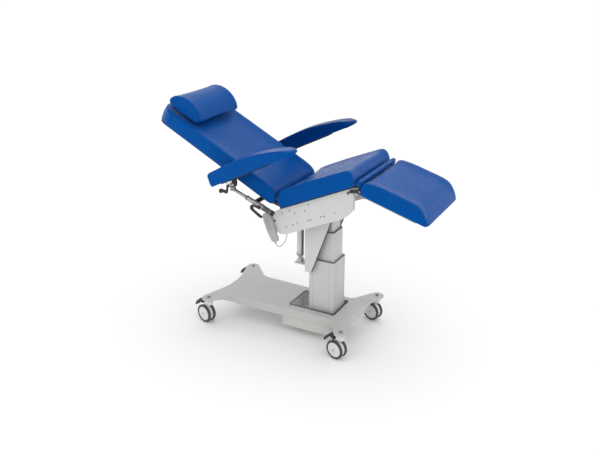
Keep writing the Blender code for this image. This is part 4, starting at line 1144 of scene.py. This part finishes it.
def make_handset_shell():
    outline = [(-0.02, -0.002), (0.014, 0.0), (0.023, -0.006), (0.0275, -0.022), (0.03, -0.05),
               (0.0298, -0.1), (0.0275, -0.14), (0.027, -0.172), (0.0215, -0.186), (0.01, -0.1905),
               (-0.008, -0.189), (-0.0195, -0.178), (-0.026, -0.145), (-0.0298, -0.1), (-0.03, -0.05),
               (-0.0275, -0.014)]
    shell = add("handset_shell", solid(prism(outline, (-0.2603, -0.2362), HANDSET)), GREY)
    bevelled(shell, 0.0055, 4, 50)
    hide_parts("handset")
    ride(shell, "seat")
    film = [(x, z - 0.066) for x, z in rounded_ring(0.034, 0.082, 0.008)]
    panel = solid(prism(film, (-0.2609, -0.26), HANDSET))
    fitting("handset_panel", panel, PANEL, "seat", 0.0003)
    hook = solid(block((-0.01, 0.01), (-0.2362, -0.2345), (-0.02, 0.004), HANDSET))
    fitting("handset_hook", hook, BLACK, "seat", 0.0005)


def make_knee_hinge(label, side):
    cheek = [(0.004, 0.014), (0.026, 0.018), (0.052, 0.032), (0.066, 0.054), (0.066, 0.072), (0.0545, 0.062),
             (0.04, 0.043), (0.026, 0.034), (0.01, 0.029)]
    shape = solid(prism(cheek, span(side, 0.233, 0.256), LEG))
    fitting("knee_hinge_" + label, shape, BLACK, "leg", 0.003, 3)
    tongue = [(0.03, 0.008), (0.062, 0.012), (0.062, 0.03), (0.034, 0.024)]
    shape = solid(prism(tongue, span(side, 0.234, 0.244), LEG))
    fitting("knee_tongue_" + label, shape, ZINC, "leg", 0.001)


make_screws()
make_castor_fittings()
make_stage_lip("outer_stage_seal", "base", (0.179, 0.171, 0.016), (0.1545, 0.1365, 0.0142), 0.526)
make_stage_lip("middle_stage_seal", "column_mid", (0.154, 0.136, 0.014), (0.1285, 0.1055, 0.0122), 0.719)
make_column_groove_shades()
make_well_fittings()
make_deck_bolts()
make_gusset_shadow_strips()
make_tilt_actuator_fittings()
make_actuator_gland("back", (0.38, 0.921), (0.053, 0.848), -0.165, 0.235)
make_actuator_gland("leg", (0.2145, 0.862), (0.5165, 0.996), 0.165, 0.22)
for label, side in SIDES:
    make_sleeve_fittings(label, side)
    make_arm_board(label, side)
    make_arm_hinge(label, side)
make_handset_shell()
for label, side in SIDES:
    make_knee_hinge(label, side)


# ---- floor and light

FLOOR_REACH = 30.0
SKY_STRENGTH = 1.09
LIGHTS = (("key", (-1.6, -4.2, 2.8), 3.0, 14.0), ("fill", (4.0, -1.8, 2.4), 2.4, 6.0),
          ("top", (0.0, 1.2, 4.6), 3.2, 8.0))
LIT_POINT = Vector((0, 0, 0.7))


def make_floor():
    shader = Shader("floor", (0.93, 0.93, 0.93), 0.9, Specular_IOR_Level=0.1)
    shader.colour(shader.mix(shader.noise(0.6, 2.0), (0.93, 0.93, 0.93), (0.945, 0.945, 0.945)))
    corners = [(x * FLOOR_REACH, y * FLOOR_REACH, 0) for x, y in ((-1, -1), (1, -1), (1, 1), (-1, 1))]
    add("floor", mesh_of(corners, [(0, 1, 2, 3)]), shader.material, False)


def make_sky():
    world = bpy.data.worlds.new("studio")
    world.use_nodes = True
    world.node_tree.nodes["Background"].inputs["Color"].default_value = (1.0, 1.0, 1.0, 1.0)
    world.node_tree.nodes["Background"].inputs["Strength"].default_value = SKY_STRENGTH
    bpy.context.scene.world = world
    bpy.context.scene.view_settings.view_transform = "Standard"


def make_light(name, at, size, power):
    light = bpy.data.objects.new(name, bpy.data.lights.new(name, "AREA"))
    light.data.size = size
    light.data.energy = power
    light.location = at
    light.rotation_euler = (Vector(at) - LIT_POINT).to_track_quat("Z", "Y").to_euler()
    bpy.context.scene.collection.objects.link(light)


make_floor()
make_sky()
for light in LIGHTS:
    make_light(*light)
